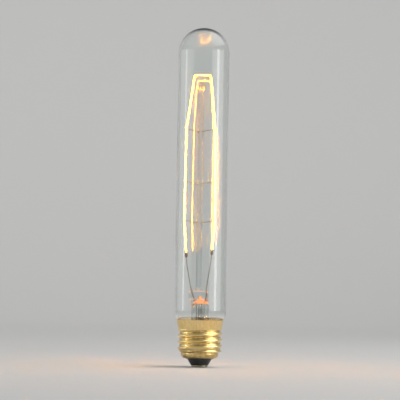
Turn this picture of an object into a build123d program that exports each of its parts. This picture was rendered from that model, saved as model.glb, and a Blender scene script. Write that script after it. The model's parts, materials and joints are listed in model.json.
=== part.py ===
"""Tubular carbon filament bulb on a screw cap with the 27 mm lamp thread, in millimetres.

The origin is the middle of the centre contact's lowest face, and +Z runs up the bulb's axis to its dome.
The two legs of the filament stand left and right of the axis, at -X and +X, and the back is at +Y.
"""

from build123d import *
from math import acos, atan2, cos, degrees, radians, sin, sqrt
import os

# Glass bulb
bulb_height = 200.0
glass_diameter = 30.0
glass_wall = 0.9
shoulder_top = 31.5
shoulder_radius = 5.0
neck_radius = 4.0
neck_diameter = 21.6
neck_foot = 17.0

# Clearances between pieces that fit together
wire_clearance = 0.03
cement_clearance = 0.1
seat_clearance = 0.05
hole_clearance = 0.1

# Centre contact and its solder, at the foot of the cap
solder_diameter = 9.0
solder_height = 0.5
solder_edge = 0.35
solder_plug_height = 1.7
contact_diameter = 9.6
contact_thickness = 0.5
contact_edge = 0.2
eyelet_diameter = 2.8
eyelet_bore = 1.9
eyelet_length = 2.6

# Black glass insulator
insulator_foot_diameter = 9.9
insulator_foot_edge = 0.4
insulator_cone_diameter = 14.4
insulator_cone_edge = 0.5
insulator_top = 8.2
insulator_dish = 1.2

# Brass screw shell, drawn from one sheet
sheet = 0.3
lip_bore = 16.6
lip_height = 5.2
lip_bend = 2.4
band_diameter = 22.0
band_bend = 0.3
thread_foot = 8.6
thread_foot_bend = 0.7
thread_diameter = 26.3
thread_top = 21.3
collar_foot = 22.0
collar_foot_diameter = 25.4
collar_top = 27.5
collar_top_diameter = 27.7

# Cement between the neck and the collar
cement_foot = 22.3
cement_top = 26.6

# The stem leans, so its press and all that stands on it are off the axis by this much
cage_shift = -1.2

# Glass stem with its press
stem_diameter = 10.6
stem_wall = 1.0
stem_top = 36.0
flare_gap = 1.0
crown_height = 3.4
press_shoulder = 4.0
press_height = 4.6
press_width = 11.3
press_thickness = 4.2
press_edge = 0.7
blow_hole_diameter = 1.4
blow_hole_rise = 1.2

# Exhaust tube, sealed off inside the cap
exhaust_diameter = 3.0
exhaust_wall = 0.6
exhaust_tip = 12.4

# Glass centre rod, with a melted button on top
rod_diameter = 3.2
rod_seat_depth = 2.6
rod_gap = 5.0
button_diameter = 5.0
button_height = 3.2
button_edge = 1.4

# Carbon filament, one hairpin in the XZ plane
filament_diameter = 0.5
filament_foot = 66.5
filament_foot_reach = 7.5
filament_foot_rise = 0.9
leg_foot = 86.0
leg_foot_reach = 9.05
leg_foot_bend = 12.0
upper_leg_length = 32.0
knee_reach = 8.45
knee_bend = 12.0
dome_gap = 28.0
loop_reach = 4.8
loop_shift = 0.8
loop_bend = 1.6

# Paste joints between the filament and the lead-in wires
joint_length = 3.2
joint_diameter = 1.6
joint_end_diameter = 1.1

# Lead-in wires, from the filament down into the press
lead_diameter = 0.6
lead_bend = 12.0
knee_drop = 5.5
press_exit_rise = 2.2
press_exit_reach = 4.7

# Seal wires, in the glass of the press
seal_diameter = 0.5
seal_cover = 1.6
seal_foot_rise = 0.8
seal_foot_reach = 2.8

# Outer leads, from the seal wires to the shell and to the centre contact
outer_diameter = 0.4
outer_bend = 0.8
outer_drop = 3.0
outer_reach = 2.2
shell_lead_drop = 2.6
shell_lead_gap = 0.25
shell_hole_height = 24.6
contact_lead_turn = 10.8
contact_lead_middle = 8.6

# Lump of solder over the hole in the collar, at the back
side_solder_radius = 2.6
side_solder_proud = 1.0
side_lead_proud = 0.4

# Support wires: a straight run from the rod to a hook round the filament
support_diameter = 0.35
support_depth = 1.1
support_rise = 1.6
middle_support_share = 0.426
top_support_reach = 0.6
top_support_bend = 0.9
hook_gap = 0.1
hook_turn = 250.0

# Radii, heights and angles that follow from the sizes above
glass_radius = glass_diameter / 2
neck_outside = neck_diameter / 2
dome_centre = bulb_height - glass_radius
shoulder_turn = degrees(acos(1 - (glass_radius - neck_outside) / (shoulder_radius + neck_radius)))
neck_top = shoulder_top - (shoulder_radius + neck_radius) * sin(radians(shoulder_turn))
contact_foot = solder_height
contact_top = contact_foot + contact_thickness
stem_outside = stem_diameter / 2
stem_bore = stem_outside - stem_wall
flare_radius = neck_outside - glass_wall - stem_outside - flare_gap
press_foot = stem_top + press_shoulder
press_top = press_foot + press_height
blow_hole_height = stem_top + crown_height + blow_hole_rise
exhaust_outside = exhaust_diameter / 2
crown_radius = (stem_bore**2 + crown_height**2) / (2 * crown_height)
crown_centre = stem_top + crown_height - crown_radius
crown_start = degrees(acos(stem_bore / crown_radius))
exhaust_top = crown_centre + sqrt(crown_radius**2 - exhaust_outside**2) - seat_clearance
loop_top = bulb_height - dome_gap
knee = loop_top - upper_leg_length
rod_top = loop_top - rod_gap
rod_outside = rod_diameter / 2
rod_foot = press_top - rod_seat_depth
press_exit = press_top + press_exit_rise
seal_top = press_top - seal_cover
seal_foot = stem_top + seal_foot_rise
shell_lead_floor = neck_foot - stem_wall - shell_lead_drop
shell_lead_reach = neck_outside + shell_lead_gap + outer_diameter / 2
hook_radius = (filament_diameter + support_diameter) / 2 + hook_gap
middle_support = leg_foot + middle_support_share * (knee - leg_foot)
support_levels = {"lower": leg_foot, "middle": middle_support, "upper": knee}

# The left side of the bulb is at -X and the right side at +X
sides = {"left": -1, "right": 1}
os.makedirs("parts", exist_ok=True)


def finish(piece, name):
    """Names a finished piece and writes it to its own file."""
    piece.part.label = name
    export_step(piece.part, f"parts/{name}.step")


def collar_reach(height):
    """Gives the outer radius of the collar at a height."""
    share = (height - collar_foot) / (collar_top - collar_foot)
    return (collar_foot_diameter + share * (collar_top_diameter - collar_foot_diameter)) / 2


def leg_points(side):
    """Gives the corners of one leg of the filament, from its end up to the loop.

    The right end stands higher than the left one, and the loop stands nearer to the bulb's axis.
    """
    return [
        Vector(cage_shift + side * filament_foot_reach, 0, filament_foot + side * filament_foot_rise),
        Vector(cage_shift + side * leg_foot_reach, 0, leg_foot),
        Vector(cage_shift + side * knee_reach, 0, knee),
        Vector(cage_shift + loop_shift + side * loop_reach, 0, loop_top),
    ]


def leg_reach(height):
    """Gives how far a leg of the filament stands from the rod's axis, between its two bends."""
    share = (height - leg_foot) / (knee - leg_foot)
    return leg_foot_reach + share * (knee_reach - leg_foot_reach)


def glass_line(inset):
    """Draws one face of the bulb's wall, from its neck to the top of its dome, moved in by inset."""
    neck = Line((neck_outside - inset, neck_foot), (neck_outside - inset, neck_top))
    hollow = JernArc(neck @ 1, neck % 1, neck_radius + inset, -shoulder_turn)
    shoulder = JernArc(hollow @ 1, hollow % 1, shoulder_radius - inset, shoulder_turn)
    side = Line(shoulder @ 1, (glass_radius - inset, dome_centre))
    JernArc(side @ 1, side % 1, glass_radius - inset, 90)


def stem_line(inset):
    """Draws one face of the stem's wall, from the edge of its flare up its tube, moved in by inset."""
    turn_start = stem_outside + flare_radius
    flare = Line((neck_outside, neck_foot - inset), (turn_start, neck_foot - inset))
    turn = JernArc(flare @ 1, flare % 1, flare_radius + inset, -90)
    Line(turn @ 1, (stem_outside - inset, stem_top))


def straight_hole(start, end, diameter):
    """Cuts a round hole from one point to another, with the clearance that a wire has in glass."""
    run = Vector(end) - Vector(start)
    with BuildSketch(Plane(origin=start, z_dir=run)) as opening:
        Circle(diameter / 2 + wire_clearance)
    extrude(opening.sketch, amount=run.length, mode=Mode.SUBTRACT)


def sweep_wire(route, diameter, mode=Mode.ADD):
    """Sweeps a round section along a route of straight runs and arcs."""
    with BuildSketch(Plane(origin=route.line @ 0, z_dir=route.line % 0)) as section:
        Circle(diameter / 2)
    sweep(section.sketch, path=route.line, mode=mode)


def seal_points(side):
    """Gives the foot and the top of a seal wire, and the point above the press that it aims at."""
    foot = Vector(side * seal_foot_reach, 0, seal_foot)
    exit_point = Vector(cage_shift + side * press_exit_reach, 0, press_exit)
    share = (seal_top - seal_foot) / (press_exit - seal_foot)
    return foot, foot + (exit_point - foot) * share, exit_point


def shell_lead_points():
    """Gives the route of the lead to the shell: down the stem, under its flare and up the back of the neck."""
    return [
        (-seal_foot_reach, 0, seal_foot),
        (-outer_reach, 0, seal_foot - outer_drop),
        (-outer_reach, 0, shell_lead_floor),
        (0, shell_lead_reach, shell_lead_floor),
        (0, shell_lead_reach, shell_hole_height),
        (0, collar_reach(shell_hole_height) + side_lead_proud, shell_hole_height),
    ]


def shell_lead_cut():
    """Cuts the way of the lead to the shell through a piece that it passes."""
    with BuildLine() as route:
        FilletPolyline(*shell_lead_points(), radius=outer_bend)
    sweep_wire(route, outer_diameter + 2 * hole_clearance, mode=Mode.SUBTRACT)


def support_plane(side, height):
    """Gives the plane of a support wire, centred on the filament, and its run from there to the rod."""
    reach = leg_reach(height)
    flat_run = reach - rod_outside + support_depth
    plane = Plane(origin=(cage_shift + side * reach, 0, height), x_dir=(side * flat_run, 0, support_rise),
                  z_dir=(-side * support_rise, 0, flat_run))
    return plane, sqrt(flat_run**2 + support_rise**2)


def top_support_plane(side):
    """Gives the plane square to the filament at the middle of a top corner, centred on the filament."""
    knee_point, corner = leg_points(side)[-2:]
    leg_lean = degrees(atan2(side * (knee_point.X - corner.X), loop_top - knee))
    half_turn = (90 - leg_lean) / 2
    inwards = radians(leg_lean + half_turn)
    outwards = Vector(side * cos(inwards), 0, sin(inwards))
    middle = corner - outwards * loop_bend * (1 / cos(radians(half_turn)) - 1)
    return Plane(origin=middle, x_dir=outwards, z_dir=(-side * sin(inwards), 0, cos(inwards)))


def top_support_points(side):
    """Gives the upright run of a top support, from inside the rod's button to its bend."""
    plane = top_support_plane(side)
    offset = plane.y_dir.Y * -hook_radius
    slope = plane.x_dir.Z / abs(plane.x_dir.X)
    upright = cage_shift + loop_shift + side * top_support_reach
    bend_height = plane.origin.Z - slope * abs(plane.origin.X - upright)
    return (upright, offset, rod_top - support_depth - support_rise), (upright, offset, bend_height)


# Bulb: a round tube with a round dome, drawn in at the shoulder to its neck
with BuildPart() as glass_envelope:
    with BuildSketch(Plane.XZ):
        with BuildLine():
            glass_line(0)
            glass_line(glass_wall)
            Line((neck_outside - glass_wall, neck_foot), (neck_outside, neck_foot))
            Line((0, bulb_height - glass_wall), (0, bulb_height))
        make_face()
    revolve(axis=Axis.Z)
finish(glass_envelope, "glass_envelope")

# Stem: a flared tube, pressed flat at the top round the wires, the rod and the end of the exhaust bore
with BuildPart() as glass_stem:
    with BuildSketch(Plane.XY.offset(stem_top)):
        Circle(stem_outside)
    with BuildSketch(Plane.XY.offset(press_foot)):
        with Locations((cage_shift, 0)):
            SlotOverall(press_width, press_thickness)
    loft()
    with BuildSketch(Plane.XY.offset(press_foot)):
        with Locations((cage_shift, 0)):
            SlotOverall(press_width, press_thickness)
    extrude(amount=press_top - press_foot)
    fillet(glass_stem.faces().sort_by(Axis.Z)[-1].edges(), press_edge)
    with BuildSketch(Plane.XZ):
        with BuildLine():
            crown = CenterArc((0, crown_centre), crown_radius, crown_start, 90 - crown_start)
            Polyline(crown @ 1, (0, stem_top), crown @ 0)
        make_face()
    revolve(axis=Axis.Z, mode=Mode.SUBTRACT)
    with BuildSketch(Plane.XZ):
        with BuildLine():
            stem_line(0)
            stem_line(stem_wall)
            Line((neck_outside, neck_foot), (neck_outside, neck_foot - stem_wall))
            Line((stem_bore, stem_top), (stem_outside, stem_top))
        make_face()
    revolve(axis=Axis.Z)
    with BuildSketch(Plane.XY.offset(stem_top)):
        Circle(exhaust_outside - exhaust_wall)
    extrude(amount=blow_hole_height - stem_top, mode=Mode.SUBTRACT)
    with BuildSketch(Plane.XZ):
        with Locations((0, blow_hole_height)):
            Circle(blow_hole_diameter / 2)
    extrude(amount=-press_thickness, mode=Mode.SUBTRACT)
    straight_hole((cage_shift, 0, rod_foot), (cage_shift, 0, press_top), rod_diameter)
    for side in sides.values():
        foot, top, exit_point = seal_points(side)
        straight_hole(foot, top, seal_diameter)
        straight_hole(top, exit_point, lead_diameter)
finish(glass_stem, "glass_stem")

# Exhaust tube: joined to the crown of the stem, with a round sealed tip
with BuildPart() as exhaust_tube:
    with BuildSketch(Plane.XZ):
        with BuildLine():
            tip = JernArc((0, exhaust_tip), (1, 0), exhaust_outside, 90)
            Polyline(tip @ 1, (exhaust_outside, exhaust_top), (0, exhaust_top), tip @ 0)
        make_face()
        with BuildLine():
            bore_radius = exhaust_outside - exhaust_wall
            bore = JernArc((0, exhaust_tip + exhaust_wall), (1, 0), bore_radius, 90)
            Polyline(bore @ 1, (bore_radius, exhaust_top), (0, exhaust_top), bore @ 0)
        make_face(mode=Mode.SUBTRACT)
    revolve(axis=Axis.Z)
finish(exhaust_tube, "exhaust_tube")

# Centre rod: its foot is held in the press, and its button holds the two top supports
with BuildPart() as centre_rod:
    rod_axis = Axis((cage_shift, 0, 0), (0, 0, 1))
    with BuildSketch(Plane((cage_shift, 0, rod_foot))):
        Circle(rod_outside)
    extrude(amount=rod_top - button_height - rod_foot)
    with BuildSketch(Plane(rod_axis.position, x_dir=(1, 0, 0), z_dir=(0, -1, 0))):
        with BuildLine():
            button = FilletPolyline(
                (0, rod_top - button_height),
                (button_diameter / 2, rod_top - button_height),
                (button_diameter / 2, rod_top),
                (0, rod_top),
                radius=button_edge,
            )
            Line(button @ 1, button @ 0)
        make_face()
    revolve(axis=rod_axis)
    for side in sides.values():
        for height in support_levels.values():
            plane, run = support_plane(side, height)
            inner = plane.from_local_coords((-run, -hook_radius, 0))
            outer = plane.from_local_coords((0, -hook_radius, 0))
            straight_hole(inner, outer, support_diameter)
        foot, bend = top_support_points(side)
        straight_hole(foot, bend, support_diameter)
finish(centre_rod, "centre_rod")

# Filament: one carbon thread, up one leg, over the loop and down the other
with BuildPart() as filament:
    with BuildLine() as hairpin:
        corners = leg_points(1) + leg_points(-1)[::-1]
        leg_bends = [leg_foot_bend, knee_bend, loop_bend]
        FilletPolyline(*corners, radius=leg_bends + leg_bends[::-1])
    sweep_wire(hairpin, filament_diameter)
finish(filament, "filament")

# Each side has a paste joint, a lead-in wire, a seal wire and four support wires
for name, side in sides.items():
    foot, top, exit_point = seal_points(side)
    filament_end, leg_start = leg_points(side)[:2]
    leg_direction = (leg_start - filament_end).normalized()

    with BuildPart() as filament_joint:
        across = (leg_direction.Z, 0, -leg_direction.X)
        with BuildSketch(Plane(origin=filament_end, x_dir=across, z_dir=(0, -1, 0))):
            with BuildLine():
                belly = ThreePointArc((joint_end_diameter / 2, -joint_length / 2), (joint_diameter / 2, 0),
                                      (joint_end_diameter / 2, joint_length / 2))
                Polyline(belly @ 1, (0, joint_length / 2), (0, -joint_length / 2), belly @ 0)
            make_face()
        revolve(axis=Axis(filament_end, leg_direction))
        straight_hole(filament_end, filament_end + leg_direction * joint_length, filament_diameter)
        straight_hole(filament_end - leg_direction * joint_length, filament_end, lead_diameter)
    finish(filament_joint, f"filament_joint_{name}")

    with BuildPart() as lead_in_wire:
        with BuildLine() as route:
            FilletPolyline(top, exit_point, filament_end - leg_direction * knee_drop, filament_end,
                           radius=lead_bend)
        sweep_wire(route, lead_diameter)
    finish(lead_in_wire, f"lead_in_wire_{name}")

    with BuildPart() as seal_wire:
        with BuildLine() as route:
            Line(foot, top)
        sweep_wire(route, seal_diameter)
    finish(seal_wire, f"seal_wire_{name}")

    for level, height in support_levels.items():
        plane, run = support_plane(side, height)
        with BuildPart() as support_wire:
            with BuildLine(plane) as route:
                Line((-run, -hook_radius), (0, -hook_radius))
                CenterArc((0, 0), hook_radius, -90, hook_turn)
            sweep_wire(route, support_diameter)
        finish(support_wire, f"support_{level}_{name}")

    plane = top_support_plane(side)
    with BuildPart() as top_support:
        with BuildLine(plane) as route:
            upright = [Vector(point) for point in top_support_points(side)]
            FilletPolyline(*upright, (0, -hook_radius, 0), radius=top_support_bend)
            CenterArc((0, 0), hook_radius, -90, hook_turn)
        sweep_wire(route, support_diameter)
    finish(top_support, f"support_top_{name}")

# Lead to the shell, from the left seal wire
with BuildPart() as shell_lead:
    with BuildLine() as route:
        FilletPolyline(*shell_lead_points(), radius=outer_bend)
    sweep_wire(route, outer_diameter)
finish(shell_lead, "shell_lead")

# Lead to the centre contact, from the right seal wire
with BuildPart() as contact_lead:
    with BuildLine() as route:
        FilletPolyline(
            (seal_foot_reach, 0, seal_foot),
            (outer_reach, 0, seal_foot - outer_drop),
            (outer_reach, 0, contact_lead_turn),
            (0, 0, contact_lead_middle),
            (0, 0, solder_plug_height),
            radius=outer_bend,
        )
    sweep_wire(route, outer_diameter)
finish(contact_lead, "contact_lead")

# Screw shell: one sheet drawn to a lip, a band, the thread's outside and a collar that opens to its rim
with BuildPart() as screw_shell:
    with BuildSketch(Plane.XZ):
        with BuildLine():
            FilletPolyline(
                (lip_bore / 2, lip_height),
                (band_diameter / 2, lip_height),
                (band_diameter / 2, thread_foot),
                (thread_diameter / 2, thread_foot),
                (thread_diameter / 2, thread_top),
                (collar_foot_diameter / 2, collar_foot),
                (collar_top_diameter / 2, collar_top),
                radius=[lip_bend, band_bend, thread_foot_bend, 0, 0],
            )
            offset(amount=sheet, side=Side.LEFT)
        make_face()
    revolve(axis=Axis.Z)
    shell_lead_cut()
finish(screw_shell, "screw_shell")

# Insulator: black glass, moulded into the foot of the shell and through its lip
with BuildPart() as insulator:
    shell_inside = band_diameter / 2 - sheet - seat_clearance
    lip_inside = lip_bore / 2 - seat_clearance
    above_lip = lip_height + sheet + seat_clearance
    inside_bend = lip_bend - sheet - seat_clearance
    hole_radius = eyelet_diameter / 2 + seat_clearance
    with BuildSketch(Plane.XZ):
        with BuildLine():
            FilletPolyline(
                (hole_radius, contact_top),
                (insulator_foot_diameter / 2, contact_top),
                (insulator_cone_diameter / 2, lip_height),
                (lip_inside, lip_height),
                (lip_inside, above_lip),
                (shell_inside, above_lip),
                (shell_inside, insulator_top),
                (hole_radius, insulator_top - insulator_dish),
                radius=[insulator_foot_edge, insulator_cone_edge, 0, 0, inside_bend, 0],
            )
            Line((hole_radius, insulator_top - insulator_dish), (hole_radius, contact_top))
        make_face()
    revolve(axis=Axis.Z)
finish(insulator, "insulator")

# Centre contact: a disc with an eyelet that stands in the insulator's hole
with BuildPart() as centre_contact:
    with BuildSketch(Plane.XY.offset(contact_foot)):
        Circle(contact_diameter / 2)
    extrude(amount=contact_thickness)
    fillet(centre_contact.edges().group_by(Axis.Z)[0], contact_edge)
    with BuildSketch(Plane.XY.offset(contact_top)):
        Circle(eyelet_diameter / 2)
    extrude(amount=eyelet_length)
    with BuildSketch(Plane.XY.offset(contact_foot)):
        Circle(eyelet_bore / 2)
    extrude(amount=contact_thickness + eyelet_length, mode=Mode.SUBTRACT)
finish(centre_contact, "centre_contact")

# Contact solder: a flat button under the disc, with a plug up the eyelet to the lead
with BuildPart() as contact_solder:
    with BuildSketch():
        Circle(solder_diameter / 2)
    extrude(amount=solder_height)
    fillet(contact_solder.edges().group_by(Axis.Z)[0], solder_edge)
    with BuildSketch(Plane.XY.offset(solder_height)):
        Circle(eyelet_bore / 2 - wire_clearance)
    extrude(amount=solder_plug_height - solder_height)
finish(contact_solder, "contact_solder")

# Side solder: a lump on the back of the collar, over the end of the lead to the shell
with BuildPart() as side_solder:
    with Locations((0, collar_reach(shell_hole_height) + side_solder_proud - side_solder_radius,
                    shell_hole_height)):
        Sphere(side_solder_radius)
    with BuildSketch(Plane.XZ):
        with BuildLine():
            Polyline(
                (0, collar_foot),
                (collar_reach(collar_foot) + wire_clearance, collar_foot),
                (collar_reach(collar_top) + wire_clearance, collar_top),
                (0, collar_top),
                close=True,
            )
        make_face()
    revolve(axis=Axis.Z, mode=Mode.SUBTRACT)
    shell_lead_cut()
finish(side_solder, "side_solder")

# Cement: a ring that fills the collar round the neck, up to just under the rim
with BuildPart() as capping_cement:
    with BuildSketch(Plane.XZ):
        with BuildLine():
            collar_gap = sheet + cement_clearance
            Polyline(
                (0, cement_foot),
                (collar_reach(cement_foot) - collar_gap, cement_foot),
                (collar_reach(cement_top) - collar_gap, cement_top),
                (0, cement_top),
                close=True,
            )
        make_face()
        with BuildLine():
            glass_line(-cement_clearance)
            Polyline((neck_outside + cement_clearance, neck_foot), (0, neck_foot),
                     (0, bulb_height + cement_clearance))
        make_face(mode=Mode.SUBTRACT)
    revolve(axis=Axis.Z)
    shell_lead_cut()
finish(capping_cement, "capping_cement")
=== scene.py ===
"""Visual model of the carbon filament bulb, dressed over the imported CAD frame.

Everything is in metres in the CAD frame: the origin is the foot of the centre contact, +Z runs up the
bulb's axis to its dome, the filament's legs stand at -X and +X, and the photographed front is at -Y.
"""

import json
import logging
import math
from dataclasses import dataclass
from enum import Enum
from typing import Callable

import bpy
import numpy as np
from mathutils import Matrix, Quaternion, Vector


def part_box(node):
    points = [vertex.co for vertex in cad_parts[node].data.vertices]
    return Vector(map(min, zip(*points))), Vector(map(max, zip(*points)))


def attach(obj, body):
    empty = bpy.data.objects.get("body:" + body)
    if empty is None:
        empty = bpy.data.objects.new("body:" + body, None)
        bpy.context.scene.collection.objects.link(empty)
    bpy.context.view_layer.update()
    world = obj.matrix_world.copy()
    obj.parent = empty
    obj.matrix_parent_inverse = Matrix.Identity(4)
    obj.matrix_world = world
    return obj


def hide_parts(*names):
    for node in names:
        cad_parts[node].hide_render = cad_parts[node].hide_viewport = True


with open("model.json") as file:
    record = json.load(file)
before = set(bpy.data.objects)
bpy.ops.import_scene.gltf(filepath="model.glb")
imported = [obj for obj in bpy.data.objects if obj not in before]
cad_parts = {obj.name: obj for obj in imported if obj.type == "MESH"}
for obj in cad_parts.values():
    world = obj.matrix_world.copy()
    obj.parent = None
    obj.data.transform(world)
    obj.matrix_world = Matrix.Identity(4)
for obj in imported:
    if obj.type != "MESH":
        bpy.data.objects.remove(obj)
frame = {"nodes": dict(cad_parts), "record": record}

log = logging.getLogger("bulb")

MM = 0.001
BODY = "root"
SEED = 1897

Color = tuple[float, float, float]


class Side(Enum):
    """The two sides of the hairpin, as seen in the photograph."""

    LEFT = -1
    RIGHT = 1


class GrainRun(Enum):
    """How a procedural texture's grain runs over a piece."""

    EVEN = (1.0, 1.0, 1.0)
    ALONG_AXIS = (1.0, 1.0, 0.06)
    ROUND_AXIS = (0.12, 0.12, 1.0)


# Sizes that a shape shares with its finish


@dataclass(frozen=True)
class BulbSizes:
    """Sizes of the blown bulb's wall."""

    wall: float = 0.9 * MM


@dataclass(frozen=True)
class StemSizes:
    """Sizes of the stem's tube, of its press and of the crown, where the bore ends under the press."""

    wall: float = 1.0 * MM
    tube_radius: float = 5.3 * MM
    tube_top: float = 36.0 * MM
    press_reach: float = 5.65 * MM
    crown_height: float = 3.4 * MM
    blow_hole_height: float = 40.6 * MM
    blow_hole_radius: float = 0.7 * MM

    def bore(self) -> float:
        """Gives the radius of the bore."""
        return self.tube_radius - self.wall

    def crown_radius(self) -> float:
        """Gives the radius of the ball whose cap is the crown."""
        return (self.bore() ** 2 + self.crown_height**2) / (2 * self.crown_height)

    def crown_middle(self) -> float:
        """Gives the height of that ball's middle."""
        return self.tube_top + self.crown_height - self.crown_radius()


@dataclass(frozen=True)
class ThreadSizes:
    """Sizes of the rolled thread and of the collar's foot above it."""

    root_radius: float = 12.0 * MM
    crest_radius: float = 13.15 * MM
    collar_foot: float = 22.0 * MM


# Numpy surfaces


def join_rings(rings: np.ndarray, start: np.ndarray | None = None, end: np.ndarray | None = None,
               loop: bool = False) -> tuple[np.ndarray, list]:
    """Joins rings of points into one closed surface.

    Args:
        rings: Points by ring and by place on the ring, shape (rings, places, 3).
        start: Point that closes the first ring, if any.
        end: Point that closes the last ring, if any.
        loop: True if the last ring joins the first.

    Returns:
        The points, shape (n, 3), and the faces with their normals pointing outwards.
    """
    count, places, _ = rings.shape
    points = rings.reshape(-1, 3)
    index = np.arange(count * places).reshape(count, places)
    following = np.roll(index, -1, axis=1)
    upper = np.roll(index, -1, axis=0)
    upper_following = np.roll(following, -1, axis=0)
    rows = slice(None) if loop else slice(0, count - 1)
    quads = np.stack([index, following, upper_following, upper], axis=-1)[rows].reshape(-1, 4)
    corners = [quads[:, [0, 1, 2]], quads[:, [0, 2, 3]]]
    faces = quads.tolist()
    if start is not None:
        fan = np.stack([np.full(places, len(points)), following[0], index[0]], axis=-1)
        points = np.vstack([points, start])
        corners.append(fan)
        faces += fan.tolist()
    if end is not None:
        fan = np.stack([np.full(places, len(points)), index[-1], following[-1]], axis=-1)
        points = np.vstack([points, end])
        corners.append(fan)
        faces += fan.tolist()
    triangles = points[np.vstack(corners)]
    volume = np.einsum("ij,ij->i", triangles[:, 0], np.cross(triangles[:, 1], triangles[:, 2])).sum()
    if volume < 0:
        faces = [face[::-1] for face in faces]
    return points, faces


def angles(places: int) -> np.ndarray:
    """Gives evenly spaced angles round a full turn, from +X towards +Y.

    Args:
        places: Number of angles.

    Returns:
        The angles in radians.
    """
    return np.linspace(0, 2 * math.pi, places, endpoint=False)


def arc(centre: tuple[float, float], radius: float, first: float, last: float, steps: int) -> np.ndarray:
    """Gives points on a circular arc in the plane of a profile.

    Args:
        centre: Reach and height of the arc's centre.
        radius: Radius of the arc.
        first: Angle of its first point, in radians from the outward direction.
        last: Angle of its last point.
        steps: Number of points.

    Returns:
        Reach and height of each point, shape (steps, 2).
    """
    turn = np.linspace(first, last, steps)
    return np.stack([centre[0] + radius * np.cos(turn), centre[1] + radius * np.sin(turn)], axis=-1)


def straight(first: tuple[float, float], last: tuple[float, float], steps: int) -> np.ndarray:
    """Gives evenly spaced points on a straight run of a profile, with both its ends.

    Args:
        first: Reach and height of the first point.
        last: Reach and height of the last point.
        steps: Number of points.

    Returns:
        Reach and height of each point, shape (steps, 2).
    """
    share = np.linspace(0, 1, steps)[:, None]
    return np.array(first) * (1 - share) + np.array(last) * share


def cage_axis() -> float:
    """Gives how far the rod, and with it the whole cage, stands off the bulb's axis along X."""
    low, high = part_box("centre_rod")
    return (low.x + high.x) / 2


def turn_profile(profile: np.ndarray, places: int,
                 uneven: Callable[[np.ndarray, np.ndarray], np.ndarray] | None = None) -> np.ndarray:
    """Turns a profile round the Z axis, with an unevenness added to its reach.

    Args:
        profile: Reach and height of each point, shape (n, 2).
        places: Number of points round each ring.
        uneven: Function of angle and height that gives what is added to the reach.

    Returns:
        The rings, shape (n, places, 3).
    """
    angle = angles(places)[None, :]
    reach = np.repeat(profile[:, :1], places, axis=1)
    height = np.repeat(profile[:, 1:], places, axis=1)
    if uneven is not None:
        reach = reach + uneven(angle + 0 * height, height)
    return np.stack([reach * np.cos(angle), reach * np.sin(angle), height], axis=-1)


@dataclass(frozen=True)
class Ripple:
    """A smooth unevenness, as a sum of seeded cosine waves round and along a piece.

    The depth is a length, or a share of the size that the ripple changes. Up to round_limit waves go
    round the piece, and those along it are one to four times as long as the shortest.
    """

    depth: float
    round_limit: int
    shortest: float
    count: int
    seed: int

    def at(self, angle: np.ndarray, along: np.ndarray, fade: np.ndarray | float = 1.0) -> np.ndarray:
        """Gives the unevenness at each point.

        Args:
            angle: Angle round the piece, in radians.
            along: Height or distance along the piece, in metres.
            fade: Share of the depth that is left at each point.

        Returns:
            The unevenness, which seldom passes the depth either way.
        """
        random = np.random.default_rng(SEED + self.seed)
        total = np.zeros(np.broadcast(angle, along).shape)
        for _ in range(self.count):
            number = random.integers(0, self.round_limit + 1)
            length = self.shortest * random.uniform(1.0, 4.0)
            phase = random.uniform(0, 2 * math.pi)
            total = total + np.cos(number * angle + 2 * math.pi * along / length + phase)
        return self.depth * fade * (total / math.sqrt(self.count))


def smooth_step(value: np.ndarray, low: float, high: float) -> np.ndarray:
    """Rises smoothly from 0 at low to 1 at high.

    Args:
        value: Where the step is read.
        low: Value up to which it is 0.
        high: Value from which it is 1.

    Returns:
        The step, between 0 and 1.
    """
    share = np.clip((value - low) / (high - low), 0, 1)
    return share * share * (3 - 2 * share)


def rounded_route(corners: np.ndarray, bends: list[float], spacing: float) -> np.ndarray:
    """Gives points along straight runs that are joined by circular bends.

    Args:
        corners: The corners of the route, ends included, shape (n, 3).
        bends: Radius of the bend at each inner corner.
        spacing: Distance between points.

    Returns:
        The points, shape (m, 3), evenly spaced along each run and bend.
    """
    pieces = []
    last_end = corners[0]
    for before, corner, after, bend in zip(corners, corners[1:], corners[2:], bends):
        incoming = (corner - before) / np.linalg.norm(corner - before)
        outgoing = (after - corner) / np.linalg.norm(after - corner)
        turn = math.acos(float(np.clip(incoming @ outgoing, -1, 1)))
        cut = bend * math.tan(turn / 2)
        start = corner - incoming * cut
        inward = outgoing - incoming * (incoming @ outgoing)
        inward = inward / np.linalg.norm(inward)
        steps = max(2, round(np.linalg.norm(start - last_end) / spacing))
        share = np.linspace(0, 1, steps, endpoint=False)[:, None]
        pieces.append(last_end * (1 - share) + start * share)
        steps = max(4, round(bend * turn / spacing))
        angle = np.linspace(0, turn, steps, endpoint=False)[:, None]
        pieces.append(start + bend * (np.sin(angle) * incoming + (1 - np.cos(angle)) * inward))
        last_end = corner + outgoing * cut
    steps = max(2, round(np.linalg.norm(corners[-1] - last_end) / spacing))
    share = np.linspace(0, 1, steps)[:, None]
    pieces.append(last_end * (1 - share) + corners[-1] * share)
    return np.vstack(pieces)


def sweep_round(route: np.ndarray, radius: np.ndarray, places: int) -> tuple[np.ndarray, list]:
    """Sweeps a round section along a route that never runs along Y.

    Args:
        route: Points along the route, shape (n, 3).
        radius: Radius of the section at each point, shape (n,).
        places: Number of points round the section.

    Returns:
        The points and faces of the closed tube.
    """
    along = np.gradient(route, axis=0)
    along = along / np.linalg.norm(along, axis=1, keepdims=True)
    across = np.cross(along, np.array([0.0, 1.0, 0.0]))
    across = across / np.linalg.norm(across, axis=1, keepdims=True)
    upright = np.cross(across, along)
    angle = angles(places)[None, :, None]
    section = np.cos(angle) * across[:, None, :] + np.sin(angle) * upright[:, None, :]
    rings = route[:, None, :] + section * radius[:, None, None]
    return join_rings(rings, start=route[0], end=route[-1])


# Procedural materials


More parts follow.
